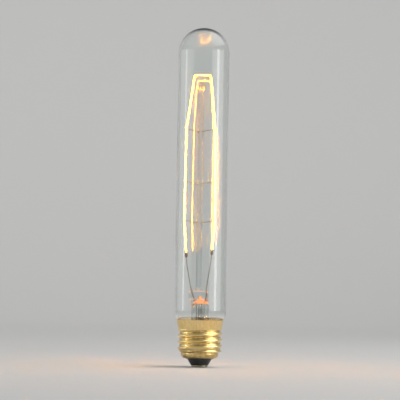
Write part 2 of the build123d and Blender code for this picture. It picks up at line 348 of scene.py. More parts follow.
class Tree:
    """A short way to add nodes to a node tree and to link them."""

    def __init__(self, tree: bpy.types.NodeTree) -> None:
        """Keeps the tree that the nodes go into.

        Args:
            tree: Node tree of a material, a world or a group.
        """
        self.tree = tree

    def add(self, kind: str, settings: dict | None = None, **inputs: object) -> bpy.types.Node:
        """Adds one node and fills its inputs.

        Args:
            kind: The node's type, such as ShaderNodeMath.
            settings: Settings of the node itself, set before its inputs.
            **inputs: Input names with underscores for spaces, and a socket or a plain value for each.

        Returns:
            The new node.
        """
        node = self.tree.nodes.new(kind)
        for name, value in (settings or {}).items():
            setattr(node, name, value)
        for name, value in inputs.items():
            self.fill(node.inputs[name.replace("_", " ")], value)
        return node

    def fill(self, socket: bpy.types.NodeSocket, value: object) -> None:
        """Links a socket to an input, or sets the input's plain value.

        Args:
            socket: The input to fill.
            value: An output socket, a number or a tuple.
        """
        if isinstance(value, bpy.types.NodeSocket):
            self.tree.links.new(value, socket)
        elif socket.type == "RGBA" and len(value) == 3:
            socket.default_value = (*value, 1.0)
        else:
            socket.default_value = value

    def math(self, operation: str, first: object, second: object = 0.0) -> bpy.types.NodeSocket:
        """Adds one step of arithmetic.

        Args:
            operation: Blender's name of the operation.
            first: First value or socket.
            second: Second value or socket.

        Returns:
            The socket with the result.
        """
        node = self.add("ShaderNodeMath", {"operation": operation})
        self.fill(node.inputs[0], first)
        self.fill(node.inputs[1], second)
        return node.outputs[0]

    def spread(self, value: object, low: float, high: float, to_low: float, to_high: float
               ) -> bpy.types.NodeSocket:
        """Maps a range of values to another range, clamped at both ends.

        Args:
            value: Socket to map.
            low: Value that gives to_low.
            high: Value that gives to_high.
            to_low: Result at low.
            to_high: Result at high.

        Returns:
            The socket with the result.
        """
        node = self.add("ShaderNodeMapRange", {"interpolation_type": "SMOOTHSTEP"})
        for name, item in (("Value", value), ("From Min", low), ("From Max", high),
                           ("To Min", to_low), ("To Max", to_high)):
            self.fill(node.inputs[name], item)
        return node.outputs["Result"]

    def mix(self, share: object, first: object, second: object) -> bpy.types.NodeSocket:
        """Mixes two colours.

        Args:
            share: Share of the second colour.
            first: Colour at share 0.
            second: Colour at share 1.

        Returns:
            The socket with the mixed colour.
        """
        node = self.add("ShaderNodeMix", {"data_type": "RGBA"})
        self.fill(node.inputs["Factor"], share)
        self.fill(node.inputs[6], first)
        self.fill(node.inputs[7], second)
        return node.outputs[2]


class Effects:
    """Node groups for effects that more than one material uses, each made once."""

    grain_roughness: float = 0.6
    grain_range: tuple[float, float] = (0.3, 0.7)
    patch_detail: float = 5.0
    patch_roughness: float = 0.55
    patch_distortion: float = 0.4
    speck_core: float = 0.4

    def __init__(self) -> None:
        """Makes the groups."""
        self.grain = self.make_grain()
        self.patches = self.make_patches()
        self.specks = self.make_specks()

    @staticmethod
    def new_group(name: str, inputs: dict[str, tuple[str, object]], outputs: dict[str, str]
                  ) -> tuple[Tree, bpy.types.Node, bpy.types.Node]:
        """Makes an empty group with named inputs and outputs.

        Args:
            name: Name of the group.
            inputs: Socket type and plain value by input name.
            outputs: Socket type by output name.

        Returns:
            The group's tree, its input node and its output node.
        """
        group = bpy.data.node_groups.new(name, "ShaderNodeTree")
        for label, (kind, value) in inputs.items():
            socket = group.interface.new_socket(name=label, in_out="INPUT", socket_type=kind)
            if value is not None:
                socket.default_value = value
        for label, kind in outputs.items():
            group.interface.new_socket(name=label, in_out="OUTPUT", socket_type=kind)
        tree = Tree(group)
        return tree, tree.add("NodeGroupInput"), tree.add("NodeGroupOutput")

    def make_grain(self) -> bpy.types.NodeTree:
        """Makes the fine grain that drawing, rolling or firing leaves on a surface.

        Returns:
            The group, with the inputs Place, Size and Detail and the outputs Grain and Height.
        """
        tree, given, result = self.new_group(
            "Fine grain",
            {"Place": ("NodeSocketVector", None), "Size": ("NodeSocketFloat", 0.5 * MM),
             "Detail": ("NodeSocketFloat", 4.0)},
            {"Grain": "NodeSocketFloat", "Height": "NodeSocketFloat"})
        scale = tree.math("DIVIDE", 1.0, given.outputs["Size"])
        noise = tree.add("ShaderNodeTexNoise", Vector=given.outputs["Place"], Scale=scale,
                         Detail=given.outputs["Detail"], Roughness=self.grain_roughness)
        grain = tree.spread(noise.outputs[0], *self.grain_range, 0.0, 1.0)
        tree.fill(result.inputs["Grain"], grain)
        tree.fill(result.inputs["Height"], noise.outputs[0])
        return tree.tree

    def make_patches(self) -> bpy.types.NodeTree:
        """Makes soft patches, for tarnish, stains and smears.

        Returns:
            The group, with the inputs Place, Size, Cover and Softness and the output Mask.
        """
        tree, given, result = self.new_group(
            "Soft patches",
            {"Place": ("NodeSocketVector", None), "Size": ("NodeSocketFloat", 5 * MM),
             "Cover": ("NodeSocketFloat", 0.5), "Softness": ("NodeSocketFloat", 0.15)},
            {"Mask": "NodeSocketFloat"})
        scale = tree.math("DIVIDE", 1.0, given.outputs["Size"])
        noise = tree.add("ShaderNodeTexNoise", Vector=given.outputs["Place"], Scale=scale,
                         Detail=self.patch_detail, Roughness=self.patch_roughness,
                         Distortion=self.patch_distortion)
        edge = tree.math("SUBTRACT", 1.0, given.outputs["Cover"])
        low = tree.math("SUBTRACT", edge, given.outputs["Softness"])
        high = tree.math("ADD", edge, given.outputs["Softness"])
        mask = tree.spread(noise.outputs[0], low, high, 0.0, 1.0)
        tree.fill(result.inputs["Mask"], mask)
        return tree.tree

    def make_specks(self) -> bpy.types.NodeTree:
        """Makes small round specks, for dust, pits and seeds.

        Returns:
            The group, with the inputs Place, Spacing and Radius and the output Mask.
        """
        tree, given, result = self.new_group(
            "Small specks",
            {"Place": ("NodeSocketVector", None), "Spacing": ("NodeSocketFloat", 1 * MM),
             "Radius": ("NodeSocketFloat", 0.1)},
            {"Mask": "NodeSocketFloat"})
        scale = tree.math("DIVIDE", 1.0, given.outputs["Spacing"])
        cells = tree.add("ShaderNodeTexVoronoi", Vector=given.outputs["Place"], Scale=scale, Randomness=1.0)
        inner = tree.math("MULTIPLY", given.outputs["Radius"], self.speck_core)
        mask = tree.spread(cells.outputs["Distance"], inner, given.outputs["Radius"], 1.0, 0.0)
        tree.fill(result.inputs["Mask"], mask)
        return tree.tree


@dataclass(frozen=True)
class Finish:
    """An opaque finish: two tones in soft patches, a fine grain and a few specks.

    Sizes are in metres; roughness is given as its lowest and highest value.
    """

    slot: str
    color: Color
    patch_color: Color
    roughness: tuple[float, float]
    metallic: float = 0.0
    patch_size: float = 4 * MM
    patch_cover: float = 0.5
    grain_size: float = 0.4 * MM
    grain_run: GrainRun = GrainRun.EVEN
    grain_height: float = 0.01 * MM
    speck_spacing: float = 1.2 * MM
    speck_radius: float = 0.12
    speck_color: Color = (0.05, 0.045, 0.04)
    patch_softness: float = 0.16

    def start(self) -> tuple[bpy.types.Material, Tree, bpy.types.Node, bpy.types.NodeSocket]:
        """Makes an empty material with its shader, its output and its object coordinates.

        Returns:
            The material, its tree, its Principled shader and the socket with the object coordinates.
        """
        material = bpy.data.materials.new(self.slot)
        material.use_nodes = True
        material.node_tree.nodes.clear()
        tree = Tree(material.node_tree)
        place = tree.add("ShaderNodeTexCoord").outputs["Object"]
        shader = tree.add("ShaderNodeBsdfPrincipled")
        output = tree.add("ShaderNodeOutputMaterial")
        tree.fill(output.inputs["Surface"], shader.outputs["BSDF"])
        return material, tree, shader, place

    def run_of_grain(self, tree: Tree, place: bpy.types.NodeSocket) -> bpy.types.NodeSocket:
        """Stretches the coordinates the way the grain runs.

        Args:
            tree: Tree of the material.
            place: Object coordinates.

        Returns:
            The stretched coordinates.
        """
        node = tree.add("ShaderNodeMapping", Vector=place, Scale=self.grain_run.value)
        return node.outputs["Vector"]

    def group(self, tree: Tree, group: bpy.types.NodeTree, **inputs: object) -> bpy.types.Node:
        """Adds one of the shared effects.

        Args:
            tree: Tree of the material.
            group: The effect's node group.
            **inputs: Values or sockets by input name.

        Returns:
            The group's node.
        """
        return tree.add("ShaderNodeGroup", {"node_tree": group}, **inputs)

    def tone(self, tree: Tree, effects: Effects, place: bpy.types.NodeSocket) -> bpy.types.NodeSocket:
        """Gives the colour of the surface before its specks.

        Args:
            tree: Tree of the material.
            effects: The shared effects.
            place: Object coordinates.

        Returns:
            The socket with the colour.
        """
        patches = self.group(tree, effects.patches, Place=place, Size=self.patch_size,
                             Cover=self.patch_cover, Softness=self.patch_softness)
        return tree.mix(patches.outputs["Mask"], self.color, self.patch_color)

    def build(self, effects: Effects) -> bpy.types.Material:
        """Builds the material.

        Args:
            effects: The shared effects.

        Returns:
            The material.
        """
        material, tree, shader, place = self.start()
        grain = self.group(tree, effects.grain, Place=self.run_of_grain(tree, place),
                           Size=self.grain_size)
        specks = self.group(tree, effects.specks, Place=place, Spacing=self.speck_spacing,
                            Radius=self.speck_radius)
        tone = self.tone(tree, effects, place)
        color = tree.mix(specks.outputs["Mask"], tone, self.speck_color)
        roughness = tree.spread(grain.outputs["Grain"], 0.0, 1.0, *self.roughness)
        bump = tree.add("ShaderNodeBump", Distance=self.grain_height, Height=grain.outputs["Height"])
        tree.fill(shader.inputs["Base Color"], color)
        tree.fill(shader.inputs["Roughness"], roughness)
        tree.fill(shader.inputs["Normal"], bump.outputs["Normal"])
        shader.inputs["Metallic"].default_value = self.metallic
        return material


@dataclass(frozen=True)
class ThreadBrass(Finish):
    """Sheet brass whose thread is dulled in its roots and polished on its crests."""

    thread: ThreadSizes = ThreadSizes()
    root_color: Color = (0.42, 0.25, 0.07)
    root_share: float = 0.75
    stain_size: float = 2 * MM
    stain_cover: float = 0.55
    stain_softness: float = 0.25
    collar_blend: float = 0.3 * MM
    streak_color: Color = (0.66, 0.47, 0.18)
    streak_share: float = 0.6
    streak_size: float = 0.9 * MM
    streak_detail: float = 6.0

    def tone(self, tree: Tree, effects: Effects, place: bpy.types.NodeSocket) -> bpy.types.NodeSocket:
        """Gives the brass's colour, darker at the thread's root radius and brushed upright on the collar.

        Args:
            tree: Tree of the material.
            effects: The shared effects.
            place: Object coordinates.

        Returns:
            The socket with the colour.
        """
        base = Finish.tone(self, tree, effects, place)
        flat = tree.add("ShaderNodeMapping", Vector=place, Scale=(1.0, 1.0, 0.0))
        reach = tree.add("ShaderNodeVectorMath", {"operation": "LENGTH"})
        tree.fill(reach.inputs[0], flat.outputs["Vector"])
        root = self.thread.root_radius
        middle = (root + self.thread.crest_radius) / 2
        dull = tree.spread(reach.outputs["Value"], root, middle, self.root_share, 0.0)
        stains = self.group(tree, effects.patches, Place=place, Size=self.stain_size,
                            Cover=self.stain_cover, Softness=self.stain_softness)
        share = tree.math("MULTIPLY", dull, stains.outputs["Mask"])
        height = tree.add("ShaderNodeSeparateXYZ", Vector=place).outputs["Z"]
        foot = self.thread.collar_foot
        collar = tree.spread(height, foot - self.collar_blend, foot + self.collar_blend, 0.0,
                             self.streak_share)
        upright = tree.add("ShaderNodeMapping", Vector=place, Scale=GrainRun.ALONG_AXIS.value)
        streaks = self.group(tree, effects.grain, Place=upright.outputs["Vector"], Size=self.streak_size,
                             Detail=self.streak_detail)
        drawn = tree.math("MULTIPLY", collar, streaks.outputs["Grain"])
        return tree.mix(drawn, tree.mix(share, base, self.root_color), self.streak_color)


@dataclass(frozen=True)
class Glass(Finish):
    """Clear glass with a faint tint, faint drawing lines and a few specks of dust."""

    refraction: float = 1.5
    line_detail: float = 2.0
    speck_roughness: float = 0.25

    def film(self, tree: Tree, effects: Effects, place: bpy.types.NodeSocket) -> bpy.types.NodeSocket:
        """Gives the roughness that dust adds to the glass.

        Args:
            tree: Tree of the material.
            effects: The shared effects.
            place: Object coordinates.

        Returns:
            The socket with the added roughness.
        """
        specks = self.group(tree, effects.specks, Place=place, Spacing=self.speck_spacing,
                            Radius=self.speck_radius)
        return tree.math("MULTIPLY", specks.outputs["Mask"], self.speck_roughness)

    def build(self, effects: Effects) -> bpy.types.Material:
        """Builds the glass, which lets the lamps' light through.

        Args:
            effects: The shared effects.

        Returns:
            The material.
        """
        material, tree, shader, place = self.start()
        grain = self.group(tree, effects.grain, Place=self.run_of_grain(tree, place),
                           Size=self.grain_size, Detail=self.line_detail)
        drawn = tree.spread(grain.outputs["Grain"], 0.0, 1.0, *self.roughness)
        roughness = tree.math("ADD", drawn, self.film(tree, effects, place))
        bump = tree.add("ShaderNodeBump", Distance=self.grain_height, Height=grain.outputs["Height"])
        tree.fill(shader.inputs["Base Color"], self.tone(tree, effects, place))
        tree.fill(shader.inputs["Roughness"], roughness)
        tree.fill(shader.inputs["Normal"], bump.outputs["Normal"])
        shader.inputs["IOR"].default_value = self.refraction
        shader.inputs["Transmission Weight"].default_value = 1.0
        clear = tree.add("ShaderNodeBsdfTransparent", Color=self.color)
        path = tree.add("ShaderNodeLightPath")
        mixed = tree.add("ShaderNodeMixShader")
        tree.fill(mixed.inputs[0], path.outputs["Is Shadow Ray"])
        tree.fill(mixed.inputs[1], shader.outputs["BSDF"])
        tree.fill(mixed.inputs[2], clear.outputs["BSDF"])
        output = tree.tree.nodes["Material Output"]
        tree.fill(output.inputs["Surface"], mixed.outputs["Shader"])
        return material


@dataclass(frozen=True)
class BulbGlass(Glass):
    """The bulb's glass, with a mist of fine dust on its outer face that spreads the filament's light."""

    sizes: BulbSizes = BulbSizes()
    face_blend: float = 0.1 * MM
    mist_spacing: float = 0.3 * MM
    mist_radius: float = 0.2
    mist_roughness: float = 0.4

    def film(self, tree: Tree, effects: Effects, place: bpy.types.NodeSocket) -> bpy.types.NodeSocket:
        """Gives the roughness of the larger dust and, on the outer face, of the mist of fine dust.

        Args:
            tree: Tree of the material.
            effects: The shared effects.
            place: Object coordinates.

        Returns:
            The socket with the added roughness.
        """
        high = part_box("glass_envelope")[1]
        mid_wall = high.x - self.sizes.wall / 2
        axes = tree.add("ShaderNodeSeparateXYZ", Vector=place).outputs
        above = tree.math("MAXIMUM", tree.math("SUBTRACT", axes["Z"], high.z - high.x), 0.0)
        from_middle = tree.add("ShaderNodeCombineXYZ", X=axes["X"], Y=axes["Y"], Z=above)
        reach = tree.add("ShaderNodeVectorMath", {"operation": "LENGTH"})
        tree.fill(reach.inputs[0], from_middle.outputs["Vector"])
        outside = tree.spread(reach.outputs["Value"], mid_wall - self.face_blend, mid_wall, 0.0, 1.0)
        mist = self.group(tree, effects.specks, Place=place, Spacing=self.mist_spacing,
                          Radius=self.mist_radius)
        fine = tree.math("MULTIPLY", mist.outputs["Mask"], self.mist_roughness)
        return tree.math("ADD", tree.math("MULTIPLY", outside, fine), Glass.film(self, tree, effects, place))


@dataclass(frozen=True)
class StemGlass(Glass):
    """The stem's glass, with a painted glow on its crown, round its blown hole and on its press edges,
    standing in for the filament's caught light.
    """

    sizes: StemSizes = StemSizes()
    # From here down, the sizes place a painted glow: an amber base tint and an orange emission for the
    # filament's light caught in the glass; the wrinkles only make it patchy.
    crown_skin: float = 0.12 * MM
    crown_start: float = 0.6 * MM
    crown_fade: float = 0.8 * MM
    hole_margin: float = 0.05 * MM
    hole_skin: float = 0.3 * MM
    glow_wrinkle_size: float = 0.8 * MM
    glow_wrinkle_cover: float = 0.55
    glow_wrinkle_softness: float = 0.25
    dimmest_share: float = 0.25
    edge_depth: float = 0.5 * MM
    edge_share: float = 0.4
    end_width: float = 0.9 * MM
    end_depth: float = 1.6 * MM
    rod_blend: float = 0.1 * MM
    # Painted glow: the amber tint goes into the base colour, the orange colour and strength into the
    # emission.
    painted_glow_tint: Color = (1.0, 0.72, 0.45)
    painted_glow_color: Color = (1.0, 0.3, 0.06)
    strength: float = 0.7

    def shell(self, tree: Tree, place: bpy.types.NodeSocket, scale: tuple[float, float, float],
              height: float, radius: float, skin: float) -> bpy.types.NodeSocket:
        """Marks the glass that lies near a ball or a round hole, at most a skin away from its radius.

        Args:
            tree: Tree of the material.
            place: Object coordinates.
            scale: Scale of the coordinates; 0 along Y turns the ball into a hole along Y.
            height: Height of the ball's middle.
            radius: Radius of the ball.
            skin: How far from the radius the mark reaches.

        Returns:
            The socket with the mask.
        """
        centred = tree.add("ShaderNodeVectorMath", {"operation": "SUBTRACT"})
        tree.fill(centred.inputs[0], place)
        tree.fill(centred.inputs[1], (0.0, 0.0, height))
        scaled = tree.add("ShaderNodeMapping", Vector=centred.outputs["Vector"], Scale=scale)
        reach = tree.add("ShaderNodeVectorMath", {"operation": "LENGTH"})
        tree.fill(reach.inputs[0], scaled.outputs["Vector"])
        away = tree.math("ABSOLUTE", tree.math("SUBTRACT", reach.outputs["Value"], radius))
        return tree.spread(away, 0.5 * skin, skin, 1.0, 0.0)

    def press_edge_glow(self, tree: Tree, across: bpy.types.NodeSocket, height: bpy.types.NodeSocket
                    ) -> bpy.types.NodeSocket:
        """Marks the painted glow on the top edge of the press, faintly, and on its two upper corners.

        Args:
            tree: Tree of the material.
            across: Object coordinate along X.
            height: Object coordinate along Z.

        Returns:
            The socket with the mask.
        """
        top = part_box("glass_stem")[1].z
        edge = tree.spread(height, top - self.edge_depth, top - 0.5 * self.edge_depth, 0.0, self.edge_share)
        aside = tree.math("ABSOLUTE", tree.math("SUBTRACT", across, cage_axis()))
        inner = self.sizes.press_reach - self.end_width
        ends = tree.spread(aside, inner, inner + 0.5 * self.end_width, 0.0, 1.0)
        upper = tree.spread(height, top - self.end_depth, top - 0.5 * self.end_depth, 0.0, 1.0)
        below_rod = tree.spread(height, top, top + self.rod_blend, 1.0, 0.0)
        marked = tree.math("MAXIMUM", edge, tree.math("MULTIPLY", ends, upper))
        return tree.math("MULTIPLY", marked, below_rod)

    def build(self, effects: Effects) -> bpy.types.Material:
        """Builds the glass with a painted glow, standing in for the filament's caught light, in its crown,
        round its blown hole and on its press.

        Args:
            effects: The shared effects.

        Returns:
            The material.
        """
        material = Glass.build(self, effects)
        tree = Tree(material.node_tree)
        shader = tree.tree.nodes["Principled BSDF"]
        place = tree.tree.nodes["Texture Coordinate"].outputs["Object"]
        axes = tree.add("ShaderNodeSeparateXYZ", Vector=place).outputs
        height = axes["Z"]
        crown = self.shell(tree, place, (1.0, 1.0, 1.0), self.sizes.crown_middle(),
                           self.sizes.crown_radius(), self.crown_skin)
        foot = self.sizes.tube_top + self.crown_start
        above = tree.spread(height, foot, foot + self.crown_fade, 0.0, 1.0)
        hole = self.shell(tree, place, (1.0, 0.0, 1.0), self.sizes.blow_hole_height,
                          self.sizes.blow_hole_radius + self.hole_margin, self.hole_skin)
        # The wrinkle patches only make the painted glow uneven.
        glow_wrinkles = self.group(tree, effects.patches, Place=place, Size=self.glow_wrinkle_size,
                              Cover=self.glow_wrinkle_cover, Softness=self.glow_wrinkle_softness)
        streaks = tree.spread(glow_wrinkles.outputs["Mask"], 0.0, 1.0, self.dimmest_share, 1.0)
        # Mask of the painted glow in the crown and round the blown hole.
        painted_glow_mask = tree.math("MAXIMUM", tree.math("MULTIPLY", crown, above), hole)
        share = tree.math("MAXIMUM", tree.math("MULTIPLY", painted_glow_mask, streaks),
                          self.press_edge_glow(tree, axes["X"], height))
        tone = shader.inputs["Base Color"].links[0].from_socket
        # Painted glow: amber tint in the base colour and an orange emission, in place of caught filament
        # light.
        tree.fill(shader.inputs["Base Color"], tree.mix(painted_glow_mask, tone, self.painted_glow_tint))
        tree.fill(shader.inputs["Emission Color"], tree.mix(share, (0.0, 0.0, 0.0), self.painted_glow_color))
        shader.inputs["Emission Strength"].default_value = self.strength
        return material


@dataclass(frozen=True)
class GlowingCarbon(Finish):
    """Carbon thread at a yellow heat, a little cooler at its ends."""

    glow: Color = (1.0, 0.38, 0.0055)
    cool_glow: Color = (1.0, 0.22, 0.002)
    strength: float = 150.0
    warm_up: float = 4.0 * MM
    heat_patch: float = 1.5 * MM
    dimmest_share: float = 0.8

    def build(self, effects: Effects) -> bpy.types.Material:
        """Builds the carbon with its emission.

        Args:
            effects: The shared effects.

        Returns:
            The material.
        """
        material = Finish.build(self, effects)
        tree = Tree(material.node_tree)
        shader = tree.tree.nodes["Principled BSDF"]
        place = tree.tree.nodes["Texture Coordinate"].outputs["Object"]
        height = tree.add("ShaderNodeSeparateXYZ", Vector=place).outputs["Z"]
        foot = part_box("filament")[0].z
        warm = tree.spread(height, foot, foot + self.warm_up, 0.0, 1.0)
        grain = self.group(tree, effects.grain, Place=place, Size=self.heat_patch)
        even = tree.spread(grain.outputs["Grain"], 0.0, 1.0, self.dimmest_share, 1.0)
        share = tree.math("MULTIPLY", warm, even)
        tree.fill(shader.inputs["Emission Color"], tree.mix(share, self.cool_glow, self.glow))
        shader.inputs["Emission Strength"].default_value = self.strength
        return material


FINISHES: tuple[Finish, ...] = (
    BulbGlass("clear_glass", color=(0.97, 0.99, 0.98), patch_color=(0.95, 0.975, 0.96),
              roughness=(0.0, 0.004), patch_size=30 * MM, grain_size=6 * MM,
              grain_run=GrainRun.ALONG_AXIS, grain_height=0.01 * MM, speck_spacing=5 * MM,
              speck_radius=0.03),
    StemGlass("stem_glass", color=(0.95, 0.965, 0.955), patch_color=(0.93, 0.94, 0.93),
              roughness=(0.0, 0.01), patch_size=5 * MM, grain_size=2 * MM,
              grain_run=GrainRun.ALONG_AXIS, grain_height=0.02 * MM, speck_spacing=2 * MM,
              speck_radius=0.04, refraction=1.515),
    GlowingCarbon("glowing_carbon", color=(0.03, 0.026, 0.024), patch_color=(0.05, 0.045, 0.04),
                  roughness=(0.6, 0.85), patch_size=3 * MM, grain_size=0.3 * MM),
    Finish("carbon_paste", color=(0.035, 0.033, 0.032), patch_color=(0.07, 0.06, 0.055),
           roughness=(0.75, 0.95), patch_size=0.8 * MM, grain_size=0.2 * MM, grain_height=0.06 * MM),
    Finish("nickel_wire", color=(0.5, 0.48, 0.45), patch_color=(0.33, 0.29, 0.25), metallic=1.0,
           roughness=(0.28, 0.45), patch_size=3 * MM, grain_run=GrainRun.ALONG_AXIS),
    Finish("support_wire", color=(0.24, 0.23, 0.22), patch_color=(0.14, 0.13, 0.125), metallic=1.0,
           roughness=(0.35, 0.55), patch_size=1.5 * MM),
    Finish("copper_wire", color=(0.4, 0.21, 0.14), patch_color=(0.22, 0.11, 0.08), metallic=1.0,
           roughness=(0.35, 0.55), patch_size=2 * MM, grain_run=GrainRun.ALONG_AXIS),
    ThreadBrass("cap_brass", color=(0.91, 0.75, 0.38), patch_color=(0.84, 0.66, 0.29), metallic=1.0,
                roughness=(0.17, 0.27), patch_size=9 * MM, patch_cover=0.45, grain_size=0.35 * MM,
                grain_run=GrainRun.ROUND_AXIS, grain_height=0.004 * MM, speck_spacing=2.2 * MM,
                speck_radius=0.05, speck_color=(0.35, 0.24, 0.1)),
    Finish("contact_brass", color=(0.72, 0.6, 0.34), patch_color=(0.5, 0.42, 0.26), metallic=1.0,
           roughness=(0.3, 0.5), patch_size=2 * MM),
    Finish("black_glass", color=(0.018, 0.018, 0.02), patch_color=(0.035, 0.034, 0.035),
           roughness=(0.08, 0.2), patch_size=3 * MM, grain_size=1.5 * MM, grain_height=0.05 * MM,
           speck_spacing=1.6 * MM, speck_radius=0.08, speck_color=(0.12, 0.115, 0.11)),
    Finish("solder", color=(0.5, 0.5, 0.49), patch_color=(0.33, 0.32, 0.31), metallic=1.0,
           roughness=(0.3, 0.55), patch_size=1.5 * MM, grain_size=0.5 * MM, grain_height=0.05 * MM),
    Finish("cement", color=(0.6, 0.54, 0.44), patch_color=(0.46, 0.4, 0.32), roughness=(0.8, 1.0),
           patch_size=2 * MM, grain_size=0.4 * MM, grain_height=0.08 * MM),
)


# Placing pieces in the shared frame


class Dresser:
    """Makes pieces of the visual model and puts the finishes on them and on the CAD nodes."""

    def __init__(self) -> None:
        """Builds the finishes and reads which slot each CAD node takes."""
        effects = Effects()
        self.materials = {finish.slot: finish.build(effects) for finish in FINISHES}
        self.slots = {part["node"]: part["material_slot"] for part in frame["record"]["subparts"]}

    def paint(self, piece: bpy.types.Object, slot: str) -> None:
        """Puts one finish on a piece.

        Args:
            piece: Mesh object of the piece.
            slot: Material slot of the record.
        """
        piece.data.materials.clear()
        piece.data.materials.append(self.materials[slot])

    def place(self, name: str, surface: tuple[np.ndarray, list], *nodes: str,
              sharp: float = 40.0) -> bpy.types.Object:
        """Makes a smooth piece from a surface, in place of one or more CAD nodes.

        Args:
            name: Name of the piece.
            surface: Points and faces.
            *nodes: CAD nodes that the piece stands for; the first gives its finish.
            sharp: Angle between faces, in degrees, above which an edge stays sharp.

        Returns:
            The new object.
        """
        points, faces = surface
        mesh = bpy.data.meshes.new(name)
        mesh.from_pydata(points.tolist(), [], faces)
        mesh.shade_smooth()
        mesh.set_sharp_from_angle(angle=math.radians(sharp))
        piece = bpy.data.objects.new(name, mesh)
        bpy.context.scene.collection.objects.link(piece)
        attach(piece, BODY)
        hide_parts(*nodes)
        self.paint(piece, self.slots[nodes[0]])
        log.info("%s: %d points, %d faces", name, len(points), len(faces))
        return piece

    def dress_frame(self) -> None:
        """Puts the finishes on the CAD nodes that are still shown."""
        for name, node in frame["nodes"].items():
            if not node.hide_render:
                self.paint(node, self.slots[name])
                log.info("%s: carried over from the frame", name)


# Sub-assemblies


@dataclass(frozen=True)
class GlassBulb(BulbSizes):
    """The blown glass: a tube with a round dome, drawn in at a shoulder to its neck.

    The dome's inner face sags by dome_gather at its pole, where the glass gathered.
    """

    shoulder_top: float = 31.5 * MM
    shoulder_bend: float = 5.0 * MM
    hollow_bend: float = 4.0 * MM
    dome_gather: float = 0.35 * MM
    gather_power: float = 4.0
    waviness: Ripple = Ripple(depth=0.012 * MM, round_limit=7, shortest=45 * MM, count=9, seed=1)
    places: int = 192

    def line(self, inset: float) -> np.ndarray:
        """Gives one face of the wall, from the foot of the neck to the top of the dome.

        The neck and the side are straight, the hollow over the neck and the shoulder are arcs that meet
        at one slope, and the dome is a quarter circle. The sag of its inner face grows as a power of
        the sine of the angle above its rim.

        Args:
            inset: How far the face lies inside the outer one.

        Returns:
            Reach and height of each point; the last one is the pole.
        """
        low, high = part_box("glass_envelope")
        outside = high.x
        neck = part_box("glass_stem")[1].x
        turn = math.acos(1 - (outside - neck) / (self.shoulder_bend + self.hollow_bend))
        neck_top = self.shoulder_top - (self.shoulder_bend + self.hollow_bend) * math.sin(turn)
        dome_centre = high.z - outside
        reach = outside - inset
        neck_run = straight((neck - inset, low.z), (neck - inset, neck_top), 12)
        hollow = arc((neck + self.hollow_bend, neck_top), self.hollow_bend + inset, math.pi,
                     math.pi - turn, 10)
        shoulder = arc((outside - self.shoulder_bend, self.shoulder_top), self.shoulder_bend - inset,
                       -turn, 0, 12)
        side = straight((reach, self.shoulder_top), (reach, dome_centre), 90)
        dome = arc((0, dome_centre), reach, 0, math.pi / 2, 56)
        if inset:
            rise = np.sin(np.linspace(0, math.pi / 2, len(dome)))
            dome[:, 1] -= self.dome_gather * rise**self.gather_power
        return np.vstack([neck_run[:-1], hollow[:-1], shoulder[:-1], side[:-1], dome])

    def uneven(self, angle: np.ndarray, height: np.ndarray) -> np.ndarray:
        """Gives the slight waviness of drawn tube, which dies out at the dome and in the neck.

        Args:
            angle: Angle round the axis.
            height: Height above the contact.

        Returns:
            What is added to the reach.
        """
        low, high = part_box("glass_envelope")
        fade = smooth_step(height, low.z, self.shoulder_top) * (
            1 - smooth_step(height, high.z - high.x, high.z))
        return self.waviness.at(angle, height, fade)

    def build(self, dresser: Dresser) -> None:
        """Builds the wall as one closed surface, down the outside and up the inside.

        Args:
            dresser: Makes and dresses the piece.
        """
        outer = self.line(0.0)
        inner = self.line(self.wall)
        rings = np.concatenate([
            turn_profile(outer[:-1][::-1], self.places),
            turn_profile(inner[:-1], self.places, self.uneven),
        ])
        top = np.array([0, 0, outer[-1, 1]])
        inner_top = np.array([0, 0, inner[-1, 1]])
        dresser.place("bulb_glass", join_rings(rings, start=top, end=inner_top), "glass_envelope")


